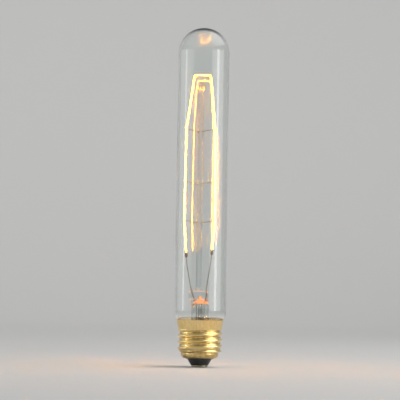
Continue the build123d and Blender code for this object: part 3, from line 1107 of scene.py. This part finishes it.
@dataclass(frozen=True)
class Stem(StemSizes):
    """The glass stem: a flared tube pressed flat round the wires, its exhaust tube and its rod."""

    press_foot: float = 40.0 * MM
    press_depth: float = 2.1 * MM
    press_edge: float = 0.7 * MM
    flare_bend: float = 3.6 * MM
    flatten_below: float = 1.5 * MM
    flatten_above: float = 0.6 * MM
    squareness: float = 1.4
    blow_hole_floor: float = 0.55
    blow_hole_rim: float = 1.5
    blow_hole_web: float = 0.35 * MM
    wire_mound: float = 0.45 * MM
    mound_spread: float = 0.9 * MM
    wire_inset: float = 0.5 * MM
    exhaust_wall: float = 0.6 * MM
    exhaust_spread: float = 0.5 * MM
    exhaust_taper: float = 2 * MM
    exhaust_seal: float = 1.6
    rod_radius: float = 1.6 * MM
    rod_melt: float = 0.55 * MM
    rod_melt_height: float = 0.7 * MM
    rod_foot_run: float = 3 * MM
    rod_neck: float = 0.35 * MM
    rod_neck_height: float = 2 * MM
    rod_mound: float = 0.3 * MM
    rod_mound_spread: float = 0.6 * MM
    rod_mound_turn: float = 0.12
    rod_calm: float = 4 * MM
    rod_calm_run: float = 6 * MM
    rod_ripple: Ripple = Ripple(depth=0.025 * MM, round_limit=2, shortest=18 * MM, count=6, seed=2)
    button_height: float = 3.2 * MM
    button_power: float = 0.8
    play: float = 0.02 * MM
    places: int = 160

    def support_heights(self) -> tuple[float, ...]:
        """Gives the heights at which the support wires leave the rod."""
        return tuple(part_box(f"support_{level}_right")[0].z for level in ("lower", "middle", "upper"))

    def outside(self) -> np.ndarray:
        """Builds the outer face, from the edge of the flare to the middle of the press's top.

        The section turns from a circle to a flattened superellipse between the tube and the press.

        Returns:
            Rings of points from the flare upwards.
        """
        low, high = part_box("glass_stem")
        bend_reach = self.tube_radius + self.flare_bend
        flare_top = low.z + self.wall
        flare = straight((high.x - self.play, flare_top), (bend_reach, flare_top), 5)
        turn = arc((bend_reach, flare_top + self.flare_bend), self.flare_bend, -math.pi / 2, -math.pi, 14)
        tube = straight((self.tube_radius, flare_top + self.flare_bend),
                        (self.tube_radius, self.tube_top), 20)
        press = straight((self.tube_radius, self.tube_top),
                         (self.tube_radius, high.z - self.press_edge), 34)
        corner = np.linspace(0, 1, 12)[1:] * math.pi / 2
        profile = np.vstack([flare[:-1], turn[:-1], tube[:-1], press])
        reach = profile[:, 0]
        height = profile[:, 1]
        shape = smooth_step(height, self.tube_top - self.flatten_below,
                            self.press_foot + self.flatten_above)
        half_width = reach + (self.press_reach - self.tube_radius) * shape
        half_depth = reach + (self.press_depth - self.tube_radius) * shape
        power = 2 + self.squareness * shape
        shift = cage_axis() * shape
        last_width = half_width[-1] - self.press_edge * (1 - np.cos(corner))
        last_depth = half_depth[-1] - self.press_edge * (1 - np.cos(corner))
        last_height = high.z - self.press_edge * (1 - np.sin(corner))
        shrink = np.linspace(0.86, 0.06, 12)
        half_width = np.concatenate([half_width, last_width, last_width[-1] * shrink])
        half_depth = np.concatenate([half_depth, last_depth, last_depth[-1] * shrink])
        height = np.concatenate([height, last_height, np.full(len(shrink), high.z)])
        missing = len(height) - len(power)
        power = np.concatenate([power, np.full(missing, power[-1])])
        shift = np.concatenate([shift, np.full(missing, shift[-1])])
        return self.section(half_width, half_depth, height, power, shift)

    def section(self, half_width: np.ndarray, half_depth: np.ndarray, height: np.ndarray,
                power: np.ndarray, shift: np.ndarray) -> np.ndarray:
        """Gives superellipse rings, with the mounds round the wires and the blown hole pressed in.

        Args:
            half_width: Reach along X of each ring.
            half_depth: Reach along Y of each ring.
            height: Height of each ring.
            power: Superellipse power of each ring; 2 is an ellipse.
            shift: How far each ring stands off the bulb's axis along X.

        Returns:
            The rings, shape (n, places, 3).
        """
        angle = angles(self.places)[None, :]
        exponent = 2 / power[:, None]
        cosine = np.cos(angle)
        sine = np.sin(angle)
        across = shift[:, None] + half_width[:, None] * np.sign(cosine) * np.abs(cosine) ** exponent
        depth = half_depth[:, None] * np.sign(sine) * np.abs(sine) ** exponent
        level = np.repeat(height[:, None], self.places, axis=1)
        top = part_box("glass_stem")[1].z
        rise = self.wire_mound * smooth_step(level, top - self.press_edge, top)
        exits = (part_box("lead_in_wire_left")[1].x - self.wire_inset,
                 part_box("lead_in_wire_right")[0].x + self.wire_inset)
        for wire in exits:
            level = level + rise * np.exp(-((across - wire) ** 2 + depth**2) / self.mound_spread**2)
        to_hole = np.sqrt(across**2 + (level - self.blow_hole_height) ** 2)
        hole = 1 - smooth_step(to_hole, self.blow_hole_floor * self.blow_hole_radius,
                               self.blow_hole_rim * self.blow_hole_radius)
        depth = np.where(depth > 0, depth - (self.press_depth - self.blow_hole_web) * hole, depth)
        return np.stack([across, depth, level], axis=-1)

    def inside(self) -> np.ndarray:
        """Gives the face of the bore, from the flare to the crown under the press.

        The flare bends up into the tube in a quarter circle, and the crown is the cap of a ball.

        Returns:
            Reach and height of each point; the last one is the pole of the crown.
        """
        low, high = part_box("glass_stem")
        bend_reach = self.tube_radius + self.flare_bend
        bore = self.bore()
        flare = straight((high.x - self.play, low.z), (bend_reach, low.z), 5)
        turn = arc((bend_reach, low.z + self.wall + self.flare_bend), self.flare_bend + self.wall,
                   -math.pi / 2, -math.pi, 14)
        tube = straight((bore, low.z + self.wall + self.flare_bend), (bore, self.tube_top), 20)
        radius = self.crown_radius()
        crown = arc((0, self.crown_middle()), radius, math.acos(bore / radius), math.pi / 2, 26)
        return np.vstack([flare[:-1], turn[:-1], tube[:-1], crown])

    def build_glass(self, dresser: Dresser) -> None:
        """Builds the stem's wall and press as one closed surface.

        Args:
            dresser: Makes and dresses the piece.
        """
        outer = self.outside()[::-1]
        inner = self.inside()
        rings = np.concatenate([outer, turn_profile(inner[:-1], self.places)])
        start = outer[0].mean(axis=0)
        end = np.array([0, 0, inner[-1, 1]])
        dresser.place("stem_glass", join_rings(rings, start=start, end=end), "glass_stem")

    def build_exhaust(self, dresser: Dresser) -> None:
        """Builds the exhaust tube, sealed to a drop at its foot and widened where it meets the crown.

        Args:
            dresser: Makes and dresses the piece.
        """
        low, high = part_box("exhaust_tube")
        radius = high.x
        wall = self.exhaust_wall
        spread = self.exhaust_spread
        drop = arc((0, low.z + radius), radius, -math.pi / 2, 0, 14)
        tube = straight((radius, low.z + radius), (radius, high.z), 50)
        tube[:, 0] += spread * smooth_step(tube[:, 1], high.z - self.exhaust_taper, high.z)
        rim = straight((radius + spread, high.z), (radius - wall, high.z), 4)
        bore_foot = low.z + self.exhaust_seal * radius
        bore = straight((radius - wall, high.z), (radius - wall, bore_foot), 30)
        tip = arc((0, bore_foot), radius - wall, 0, -math.pi / 2, 10)
        profile = np.vstack([drop[1:-1], tube[:-1], rim[:-1], bore[:-1], tip[:-1]])
        rings = turn_profile(profile, 64)
        start = np.array([0, 0, low.z])
        end = np.array([0, 0, tip[-1, 1]])
        dresser.place("exhaust_glass", join_rings(rings, start=start, end=end), "exhaust_tube")

    def build_rod(self, dresser: Dresser) -> None:
        """Builds the centre rod: a melted foot on the press, a mound at each wire and a button on top.

        The foot's extra reach dies away exponentially upwards. The button's reach is a power of the
        cosine of an angle whose sine gives the height, and a shallow parabola closes it.

        Args:
            dresser: Makes and dresses the piece.
        """
        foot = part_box("glass_stem")[1].z + self.play
        low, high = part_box("centre_rod")
        button = self.button_height
        under = high.z - button
        neck_foot = under - self.rod_neck_height
        melt_top = foot + self.rod_foot_run
        rod_height = np.concatenate([
            np.linspace(foot, melt_top, 14)[:-1],
            np.linspace(melt_top, neck_foot, 260)[:-1],
            np.linspace(neck_foot, under, 12),
        ])
        melt = self.rod_melt * np.exp(-(rod_height - foot) / self.rod_melt_height)
        neck = self.rod_neck * smooth_step(rod_height, neck_foot, under)
        rod = np.stack([self.rod_radius + melt + neck, rod_height], axis=-1)
        turn = np.linspace(-math.pi / 2, math.pi / 2, 40)
        head = np.stack([
            (high.x - cage_axis()) * np.abs(np.cos(turn)) ** self.button_power,
            under + button / 2 + button / 2 * np.sin(turn),
        ], axis=-1)
        head = head[head[:, 0] > rod[-1, 0]]
        cap = np.linspace(0.9, 0.1, 8)[:, None] * head[-1, :1]
        cap_height = high.z - (high.z - head[-1, 1]) * (cap / head[-1, 0]) ** 2
        profile = np.vstack([rod, head, np.hstack([cap, cap_height])])
        rings = turn_profile(profile, 72, self.rod_uneven)
        rings[..., 0] += cage_axis()
        start = np.array([cage_axis(), 0, foot])
        end = np.array([cage_axis(), 0, high.z])
        dresser.place("rod_glass", join_rings(rings, start=start, end=end), "centre_rod")

    def rod_uneven(self, angle: np.ndarray, height: np.ndarray) -> np.ndarray:
        """Gives the rod's hand-drawn unevenness and the mounds of glass where the wires were stuck in.

        A mound is a bell curve of the height, and fades exponentially with the turn away from its wire.

        Args:
            angle: Angle round the axis.
            height: Height above the contact.

        Returns:
            What is added to the reach.
        """
        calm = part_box("centre_rod")[1].z - self.rod_calm
        fade = 1 - smooth_step(height, calm - self.rod_calm_run, calm)
        total = self.rod_ripple.at(angle, height, fade)
        for level in self.support_heights():
            for side in Side:
                away = 1 - side.value * np.cos(angle)
                near = np.exp(-((height - level) / self.rod_mound_spread) ** 2
                              - away / self.rod_mound_turn)
                total = total + self.rod_mound * near
        return total

    def build(self, dresser: Dresser) -> None:
        """Builds the three glass pieces of the stem.

        Args:
            dresser: Makes and dresses the pieces.
        """
        self.build_glass(dresser)
        self.build_exhaust(dresser)
        self.build_rod(dresser)


@dataclass(frozen=True)
class Filament:
    """The carbon hairpin and the paste joints at its ends.

    Reaches are measured from the rod's axis. The bend at the widest corner takes bend_cut off its reach.
    """

    foot_reach: float = 7.5 * MM
    bend_height: float = 86.0 * MM
    knee_height: float = 140.0 * MM
    knee_reach: float = 8.45 * MM
    loop_reach: float = 4.8 * MM
    loop_shift: float = 0.8 * MM
    foot_bend: float = 12.0 * MM
    knee_bend: float = 12.0 * MM
    loop_bend: float = 1.6 * MM
    joint_length: float = 3.2 * MM
    joint_radius: float = 0.8 * MM
    joint_end: float = 0.45
    spacing: float = 0.45 * MM
    bend_cut: float = 0.02 * MM
    thickness: Ripple = Ripple(depth=0.03, round_limit=0, shortest=6 * MM, count=6, seed=3)
    sway: Ripple = Ripple(depth=0.06 * MM, round_limit=0, shortest=25 * MM, count=5, seed=4)
    left_lumps: Ripple = Ripple(depth=0.07, round_limit=4, shortest=1.2 * MM, count=8, seed=4)
    right_lumps: Ripple = Ripple(depth=0.07, round_limit=4, shortest=1.2 * MM, count=8, seed=6)

    def leg_reach(self) -> float:
        """Gives how far the legs stand from the rod's axis where they are widest apart."""
        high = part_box("filament")[1]
        return high.x - high.y - cage_axis() + self.bend_cut

    def leg(self, side: Side) -> np.ndarray:
        """Gives the corners of one leg, from its end in the paste up to the loop.

        Args:
            side: Which leg.

        Returns:
            The four corners, shape (4, 3).
        """
        paste_low, paste_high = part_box(f"filament_joint_{side.name.lower()}")
        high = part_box("filament")[1]
        reach = [self.foot_reach, self.leg_reach(), self.knee_reach, self.loop_reach]
        height = [(paste_low.z + paste_high.z) / 2, self.bend_height, self.knee_height, high.z - high.y]
        corners = np.zeros((4, 3))
        corners[:, 0] = cage_axis() + side.value * np.array(reach)
        corners[:, 2] = height
        corners[-1, 0] += self.loop_shift
        return corners

    def route(self) -> np.ndarray:
        """Gives the middle line of the carbon, up the right leg, over the loop and down the left one.

        Returns:
            Points along the line, shape (n, 3).
        """
        corners = np.vstack([self.leg(Side.RIGHT), self.leg(Side.LEFT)[::-1]])
        bends = [self.foot_bend, self.knee_bend, self.loop_bend]
        return rounded_route(corners, bends + bends[::-1], self.spacing)

    def build_carbon(self, dresser: Dresser) -> None:
        """Builds the carbon thread, which is slightly uneven along its length.

        Args:
            dresser: Makes and dresses the piece.
        """
        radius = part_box("filament")[1].y
        route = self.route()
        along = np.arange(len(route)) * self.spacing
        uneven = 1 + self.thickness.at(0 * along, along)
        route[:, 1] += self.sway.at(0 * along, along)
        dresser.place("carbon_thread", sweep_round(route, radius * uneven, 20), "filament")

    def build_joint(self, dresser: Dresser, side: Side) -> None:
        """Builds one lump of paste round an end of the carbon and the top of its wire.

        Its radius is that of its blunt ends plus a half ellipse along its length.

        Args:
            dresser: Makes and dresses the piece.
            side: Which end.
        """
        name = side.name.lower()
        middle, bend = self.leg(side)[:2]
        direction = (bend - middle) / np.linalg.norm(bend - middle)
        share = np.linspace(-1, 1, 30)
        route = middle + direction * (share * self.joint_length / 2)[:, None]
        swell = np.sqrt(np.clip(1 - share**2, 0, 1))
        radius = self.joint_radius * (self.joint_end + (1 - self.joint_end) * swell)
        points, faces = sweep_round(route, radius, 28)
        offset = points - middle
        angle = np.arctan2(offset[:, 1], offset[:, 0])
        lumps = self.left_lumps if side is Side.LEFT else self.right_lumps
        lump = 1 + lumps.at(angle, offset[:, 2])
        on_axis = middle + direction * (offset @ direction)[:, None]
        points = on_axis + (points - on_axis) * lump[:, None]
        dresser.place(f"paste_joint_{name}", (points, faces), f"filament_joint_{name}")

    def build(self, dresser: Dresser) -> None:
        """Builds the carbon and both joints.

        Args:
            dresser: Makes and dresses the pieces.
        """
        self.build_carbon(dresser)
        for side in Side:
            self.build_joint(dresser, side)


@dataclass(frozen=True)
class ScrewCap(ThreadSizes):
    """The brass shell with its rolled thread, the black glass under it and the solder.

    A crest crosses +X at the height crest_start.
    """

    sheet: float = 0.3 * MM
    pitch: float = 3.629 * MM
    crest_start: float = 9.06 * MM
    lip_bore_radius: float = 8.3 * MM
    lip_bend: float = 2.4 * MM
    band_radius: float = 11.0 * MM
    thread_rise: tuple[float, float] = (8.45 * MM, 9.35 * MM)
    thread_end: tuple[float, float] = (21.1 * MM, 22.1 * MM)
    collar_foot_radius: float = 12.7 * MM
    crest_power: float = 1.5
    insulator_foot_radius: float = 4.95 * MM
    insulator_cone_radius: float = 7.2 * MM
    insulator_hole: float = 1.45 * MM
    insulator_foot_edge: float = 0.4 * MM
    insulator_foot_tuck: float = 0.4
    insulator_cone_edge: float = 0.5 * MM
    insulator_cone_tuck: float = 0.8
    insulator_dish: float = 1.2 * MM
    insulator_play: float = 0.05 * MM
    insulator_calm: float = 1 * MM
    insulator_flow: Ripple = Ripple(depth=0.05 * MM, round_limit=6, shortest=6 * MM, count=8, seed=7)
    solder_plug_radius: float = 0.9 * MM
    solder_edge: float = 0.35 * MM
    solder_middle: float = 0.06
    solder_rim: float = 0.6
    solder_shrink: float = 0.03
    solder_outline: Ripple = Ripple(depth=0.02, round_limit=9, shortest=1.0, count=9, seed=8)
    solder_dent: float = 0.12 * MM
    solder_dents: Ripple = Ripple(depth=0.25, round_limit=5, shortest=3 * MM, count=9, seed=9)
    lump_gap: float = 0.02 * MM
    lump_middle: float = 0.04
    lump_slope: float = 2.4
    lump_edge: float = 0.62
    lump_turn: float = 2 * MM
    lump_outline: Ripple = Ripple(depth=0.05, round_limit=6, shortest=1.0, count=8, seed=10)
    lump_face: Ripple = Ripple(depth=0.05, round_limit=4, shortest=2 * MM, count=7, seed=11)
    places: int = 224

    def collar_reach(self, height: np.ndarray) -> np.ndarray:
        """Gives the collar's outer radius, which opens evenly to the rim.

        Args:
            height: Height above the contact.

        Returns:
            The radius at each height.
        """
        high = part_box("screw_shell")[1]
        share = (height - self.collar_foot) / (high.z - self.collar_foot)
        return self.collar_foot_radius + share * (high.x - self.collar_foot_radius)

    def shell_reach(self, angle: np.ndarray, height: np.ndarray) -> np.ndarray:
        """Gives the shell's outer radius above its lip.

        The thread is a cosine wave whose crest climbs one pitch each turn, right-handed. It rises out
        of the lower band in a short step and dies away into the foot of the collar.

        Args:
            angle: Angle round the axis.
            height: Height above the contact.

        Returns:
            The radius at each point.
        """
        phase = 2 * math.pi * (height - self.crest_start) / self.pitch - angle
        wave = (0.5 + 0.5 * np.cos(phase)) ** self.crest_power
        thread = self.root_radius + (self.crest_radius - self.root_radius) * wave
        rise = smooth_step(height, *self.thread_rise)
        reach = self.band_radius + (thread - self.band_radius) * rise
        leave = smooth_step(height, *self.thread_end)
        return reach + (self.collar_reach(height) - reach) * leave

    def shell_rings(self, inset: float, rows: int) -> np.ndarray:
        """Gives one face of the shell, from the lip's inner edge to the rim.

        Args:
            inset: How far the face lies inside the outer one.
            rows: Number of rings above the lip's bend.

        Returns:
            Rings of points, shape (n, places, 3).
        """
        low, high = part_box("screw_shell")
        angle = angles(self.places)[None, :]
        bend_centre = (self.band_radius - self.lip_bend, low.z + self.lip_bend)
        lip = straight((self.lip_bore_radius, low.z + inset), (bend_centre[0], low.z + inset), 4)
        bend = arc(bend_centre, self.lip_bend - inset, -math.pi / 2, 0, 12)
        level = np.linspace(bend_centre[1], high.z, rows + 1)[1:, None] + 0 * angle
        reach = self.shell_reach(angle, level) - inset
        wall = np.stack([reach * np.cos(angle), reach * np.sin(angle), level], axis=-1)
        return np.concatenate([turn_profile(np.vstack([lip[:-1], bend]), self.places), wall])

    def build_shell(self, dresser: Dresser) -> None:
        """Builds the shell's sheet as one closed surface, up the outside and down the inside.

        Args:
            dresser: Makes and dresses the piece.
        """
        outer = self.shell_rings(0.0, 170)
        inner = self.shell_rings(self.sheet, 110)
        rings = np.concatenate([outer, inner[::-1]])
        dresser.place("brass_shell", join_rings(rings, loop=True), "screw_shell", sharp=50.0)

    def build_insulator(self, dresser: Dresser) -> None:
        """Builds the black glass: a rounded foot and cone under the lip, and a dished top in the shell.

        Args:
            dresser: Makes and dresses the piece.
        """
        low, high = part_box("insulator")
        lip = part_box("screw_shell")[0].z
        hole = self.insulator_hole
        foot_edge = self.insulator_foot_edge
        cone_edge = self.insulator_cone_edge
        play = self.insulator_play
        lean = math.atan2(lip - low.z, self.insulator_cone_radius - self.insulator_foot_radius)
        foot_tuck = foot_edge * self.insulator_foot_tuck
        cone_tuck = cone_edge * self.insulator_cone_tuck
        foot_arc = arc((self.insulator_foot_radius - foot_tuck, low.z + foot_edge), foot_edge,
                       -math.pi / 2, lean - math.pi / 2, 10)
        cone_arc = arc((self.insulator_cone_radius - cone_edge, lip - cone_tuck), cone_edge,
                       lean - math.pi / 2, math.pi / 2, 14)
        inside = self.band_radius - self.sheet - play
        above_lip = lip + self.sheet + play
        profile = np.vstack([
            straight((hole, low.z), tuple(foot_arc[0]), 8)[:-1],
            foot_arc,
            straight(tuple(foot_arc[-1]), tuple(cone_arc[0]), 14)[1:-1],
            cone_arc,
            straight((self.lip_bore_radius - play, lip - self.sheet),
                     (self.lip_bore_radius - play, above_lip), 4),
            arc((inside - self.lip_bend + self.sheet, above_lip + self.lip_bend - self.sheet),
                self.lip_bend - self.sheet, -math.pi / 2, 0, 8),
            straight((inside, high.z), (hole, high.z - self.insulator_dish), 16),
        ])
        rings = turn_profile(profile, 128, self.insulator_uneven)
        dresser.place("moulded_insulator", join_rings(rings, loop=True), "insulator")

    def insulator_uneven(self, angle: np.ndarray, height: np.ndarray) -> np.ndarray:
        """Gives the slight flow of pressed glass on the cone.

        Args:
            angle: Angle round the axis.
            height: Height above the contact.

        Returns:
            What is added to the reach.
        """
        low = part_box("insulator")[0].z
        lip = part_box("screw_shell")[0].z
        above_foot = smooth_step(height, low, low + self.insulator_calm)
        below_lip = 1 - smooth_step(height, lip - self.insulator_calm, lip)
        return self.insulator_flow.at(angle, height, above_foot * below_lip)

    def build_contact_solder(self, dresser: Dresser) -> None:
        """Builds the flat button of solder under the contact, with an edge that ran unevenly.

        The outline's reach is scaled by a ripple of the angle, and dents lift the underside.

        Args:
            dresser: Makes and dresses the piece.
        """
        low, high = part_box("contact_solder")
        radius = high.x
        plate_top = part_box("centre_contact")[0].z
        plug = self.solder_plug_radius
        edge = self.solder_edge
        foot = straight((radius * self.solder_middle, low.z), (radius - edge, low.z), 22)
        side = arc((radius - edge, low.z + edge), edge, -math.pi / 2, 0, 10)
        profile = np.vstack([
            foot[:-1],
            side,
            straight((radius, plate_top), (plug, plate_top), 10)[1:],
            straight((plug, plate_top), (plug, high.z), 6)[1:],
        ])
        rings = turn_profile(profile, 96)
        angle = np.arctan2(rings[..., 1], rings[..., 0])
        reach = np.hypot(rings[..., 0], rings[..., 1])
        outside = smooth_step(reach, radius * self.solder_rim, radius)
        swell = 1 + (self.solder_outline.at(angle, 0 * angle) - self.solder_shrink) * outside
        rings[..., 0] *= swell
        rings[..., 1] *= swell
        below = 1 - smooth_step(rings[..., 2], low.z, low.z + edge)
        dent = np.clip(0.5 + self.solder_dents.at(angle, reach), 0, 1)
        rings[..., 2] += self.solder_dent * below * dent * smooth_step(reach, 0, radius)
        start = np.array([0, 0, low.z])
        end = np.array([0, 0, high.z])
        dresser.place("contact_solder_button", join_rings(rings, start=start, end=end), "contact_solder")

    def build_side_solder(self, dresser: Dresser) -> None:
        """Builds the lump on the back of the collar, as a height above the collar's own cone.

        The height is a rounded power curve of the distance from the lump's middle, and its outline is an
        uneven ellipse.

        Args:
            dresser: Makes and dresses the piece.
        """
        low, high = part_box("side_solder")
        middle = (low.z + high.z) / 2
        half_width = high.x
        half_height = (high.z - low.z) / 2
        proud = high.y - float(self.collar_reach(np.array(middle)))
        share = np.linspace(self.lump_middle, 1, 26)[:, None]
        angle = angles(72)[None, :]
        edge = 1 + self.lump_outline.at(angle, 0 * angle)
        across = share * half_width * np.cos(angle) * edge
        level = middle + share * half_height * np.sin(angle) * edge
        uneven = 1 + self.lump_face.at(angle, share * self.lump_turn)
        dome = proud * (1 - share**self.lump_slope) ** self.lump_edge * uneven
        base = self.collar_reach(level) + self.lump_gap
        turn = math.pi / 2 - across / base
        outer = np.stack([(base + dome) * np.cos(turn), (base + dome) * np.sin(turn), level], axis=-1)
        inner = np.stack([base * np.cos(turn), base * np.sin(turn), level], axis=-1)
        rings = np.concatenate([outer, inner[-2::-1]])
        surface = join_rings(rings, start=outer[0].mean(axis=0), end=inner[0].mean(axis=0))
        dresser.place("side_solder_lump", surface, "side_solder")

    def build(self, dresser: Dresser) -> None:
        """Builds the pieces of the cap.

        Args:
            dresser: Makes and dresses the pieces.
        """
        self.build_shell(dresser)
        self.build_insulator(dresser)
        self.build_contact_solder(dresser)
        self.build_side_solder(dresser)


# Studio


WHITE: Color = (1.0, 1.0, 1.0)
WARM_WHITE: Color = (1.0, 0.99, 0.96)


@dataclass(frozen=True)
class Panel:
    """A soft light panel that stands round the bulb and faces its axis, or the backdrop.

    The bearing and the spread are in degrees, the bearing from the camera's direction to the right;
    lengths are in metres.
    """

    name: str
    bearing: float
    distance: float
    height: float
    width: float
    tall: float
    radiance: float
    color: Color = WHITE
    aim: tuple[float, float, float] = (0.0, 0.0, 0.2)
    spread: float = 110.0

    def build(self) -> None:
        """Builds the lamp, with the power that gives its radiance over its area.

        It is neither seen straight on nor through the glass, only mirrored.
        """
        light = bpy.data.lights.new(self.name, "AREA")
        light.shape = "RECTANGLE"
        light.size = self.width
        light.size_y = self.tall
        light.energy = self.radiance * math.pi * self.width * self.tall
        light.color = self.color
        light.spread = math.radians(self.spread)
        lamp = bpy.data.objects.new(self.name, light)
        bearing = math.radians(self.bearing)
        lamp.location = (self.distance * math.sin(bearing), -self.distance * math.cos(bearing), self.height)
        aim = Vector(self.aim) - lamp.location
        lamp.rotation_euler = aim.to_track_quat("-Z", "Y").to_euler()
        lamp.visible_camera = False
        lamp.visible_transmission = False
        bpy.context.scene.collection.objects.link(lamp)


@dataclass(frozen=True)
class Studio:
    """The pale floor that bends up all round, the soft light and the camera of the photograph.

    The filament's light reaches the camera only through glass, as bounced light, so brightest_bounce
    stands well above the usual limit.
    """

    floor_color: Color = (0.66, 0.66, 0.655)
    floor_roughness: float = 0.9
    floor_shine: float = 0.1
    wall_reach: float = 2.3
    wall_bend: float = 0.9
    wall_height: float = 1.3
    first_ring: float = 0.2
    world_color: Color = WHITE
    world_level: float = 0.36
    eye_distance: float = 1.08
    eye_height: float = 42 * MM
    aim_height: float = 98.1 * MM
    aim_across: float = -1.09 * MM
    frame_width: float = 235.3 * MM
    sensor: float = 36.0
    nearest: float = 10 * MM
    lean: float = 0.85
    brightest_bounce: float = 120.0
    panels: tuple[Panel, ...] = (
        Panel("left_panel", bearing=-84, distance=1.0, height=0.21, width=1.74, tall=0.38, radiance=0.62),
        Panel("left_core", bearing=-85, distance=0.98, height=0.21, width=0.14, tall=0.38, radiance=1.3),
        Panel("right_panel", bearing=70, distance=1.0, height=0.21, width=1.25, tall=0.38, radiance=1.15,
              color=WARM_WHITE),
        Panel("right_core", bearing=69, distance=0.98, height=0.21, width=0.2, tall=0.38, radiance=1.6,
              color=WARM_WHITE),
        Panel("top_panel", bearing=88, distance=0.62, height=0.95, width=1.2, tall=0.9, radiance=0.95),
        Panel("backdrop_panel", bearing=180, distance=0.9, height=2.2, width=3.0, tall=0.8, radiance=1.5,
              aim=(0.0, 2.2, 0.5)),
    )

    def build_floor(self) -> None:
        """Builds the floor as a round sheet that bends up into a low wall all round."""
        flat_reach = self.wall_reach - self.wall_bend
        profile = np.vstack([
            straight((self.first_ring, 0.0), (flat_reach, 0.0), 8)[:-1],
            arc((flat_reach, self.wall_bend), self.wall_bend, -math.pi / 2, 0, 32),
            [[self.wall_reach, self.wall_height]],
        ])
        points, faces = join_rings(turn_profile(profile, 96), start=np.zeros(3))
        mesh = bpy.data.meshes.new("floor")
        mesh.from_pydata(points.tolist(), [], faces)
        mesh.shade_smooth()
        material = bpy.data.materials.new("floor")
        material.use_nodes = True
        shader = material.node_tree.nodes["Principled BSDF"]
        shader.inputs["Base Color"].default_value = (*self.floor_color, 1.0)
        shader.inputs["Roughness"].default_value = self.floor_roughness
        shader.inputs["Specular IOR Level"].default_value = self.floor_shine
        mesh.materials.append(material)
        floor = bpy.data.objects.new("floor", mesh)
        bpy.context.scene.collection.objects.link(floor)

    def build_world(self) -> None:
        """Sets the plain grey light all round."""
        world = bpy.data.worlds.new("world")
        bpy.context.scene.world = world
        world.use_nodes = True
        background = world.node_tree.nodes["Background"]
        background.inputs["Color"].default_value = (*self.world_color, 1.0)
        background.inputs["Strength"].default_value = self.world_level

    def build_camera(self) -> None:
        """Sets the camera where the photograph was taken from, with the bulb's slight lean."""
        data = bpy.data.cameras.new("camera")
        data.sensor_width = self.sensor
        data.lens = self.sensor * self.eye_distance / self.frame_width
        data.clip_start = self.nearest
        camera = bpy.data.objects.new("camera", data)
        eye = Vector((self.aim_across, -self.eye_distance, self.eye_height))
        aim = Vector((self.aim_across, 0, self.aim_height))
        backwards = eye - aim
        camera.rotation_mode = "QUATERNION"
        look = backwards.to_track_quat("Z", "Y")
        look.rotate(Quaternion(backwards, math.radians(self.lean)))
        camera.rotation_quaternion = look
        camera.location = eye
        bpy.context.scene.collection.objects.link(camera)
        bpy.context.scene.camera = camera

    def build(self) -> None:
        """Builds the stage and sets the colours to render about as written."""
        self.build_floor()
        self.build_world()
        for panel in self.panels:
            panel.build()
        self.build_camera()
        scene = bpy.context.scene
        scene.view_settings.view_transform = "Standard"
        scene.cycles.sample_clamp_indirect = self.brightest_bounce


def main() -> None:
    """Builds the bulb and its studio."""
    logging.basicConfig(level=logging.INFO, format="%(message)s")
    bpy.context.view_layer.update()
    dresser = Dresser()
    for assembly in (GlassBulb(), Stem(), Filament(), ScrewCap()):
        assembly.build(dresser)
    dresser.dress_frame()
    Studio().build()


if __name__ == "__main__":
    main()
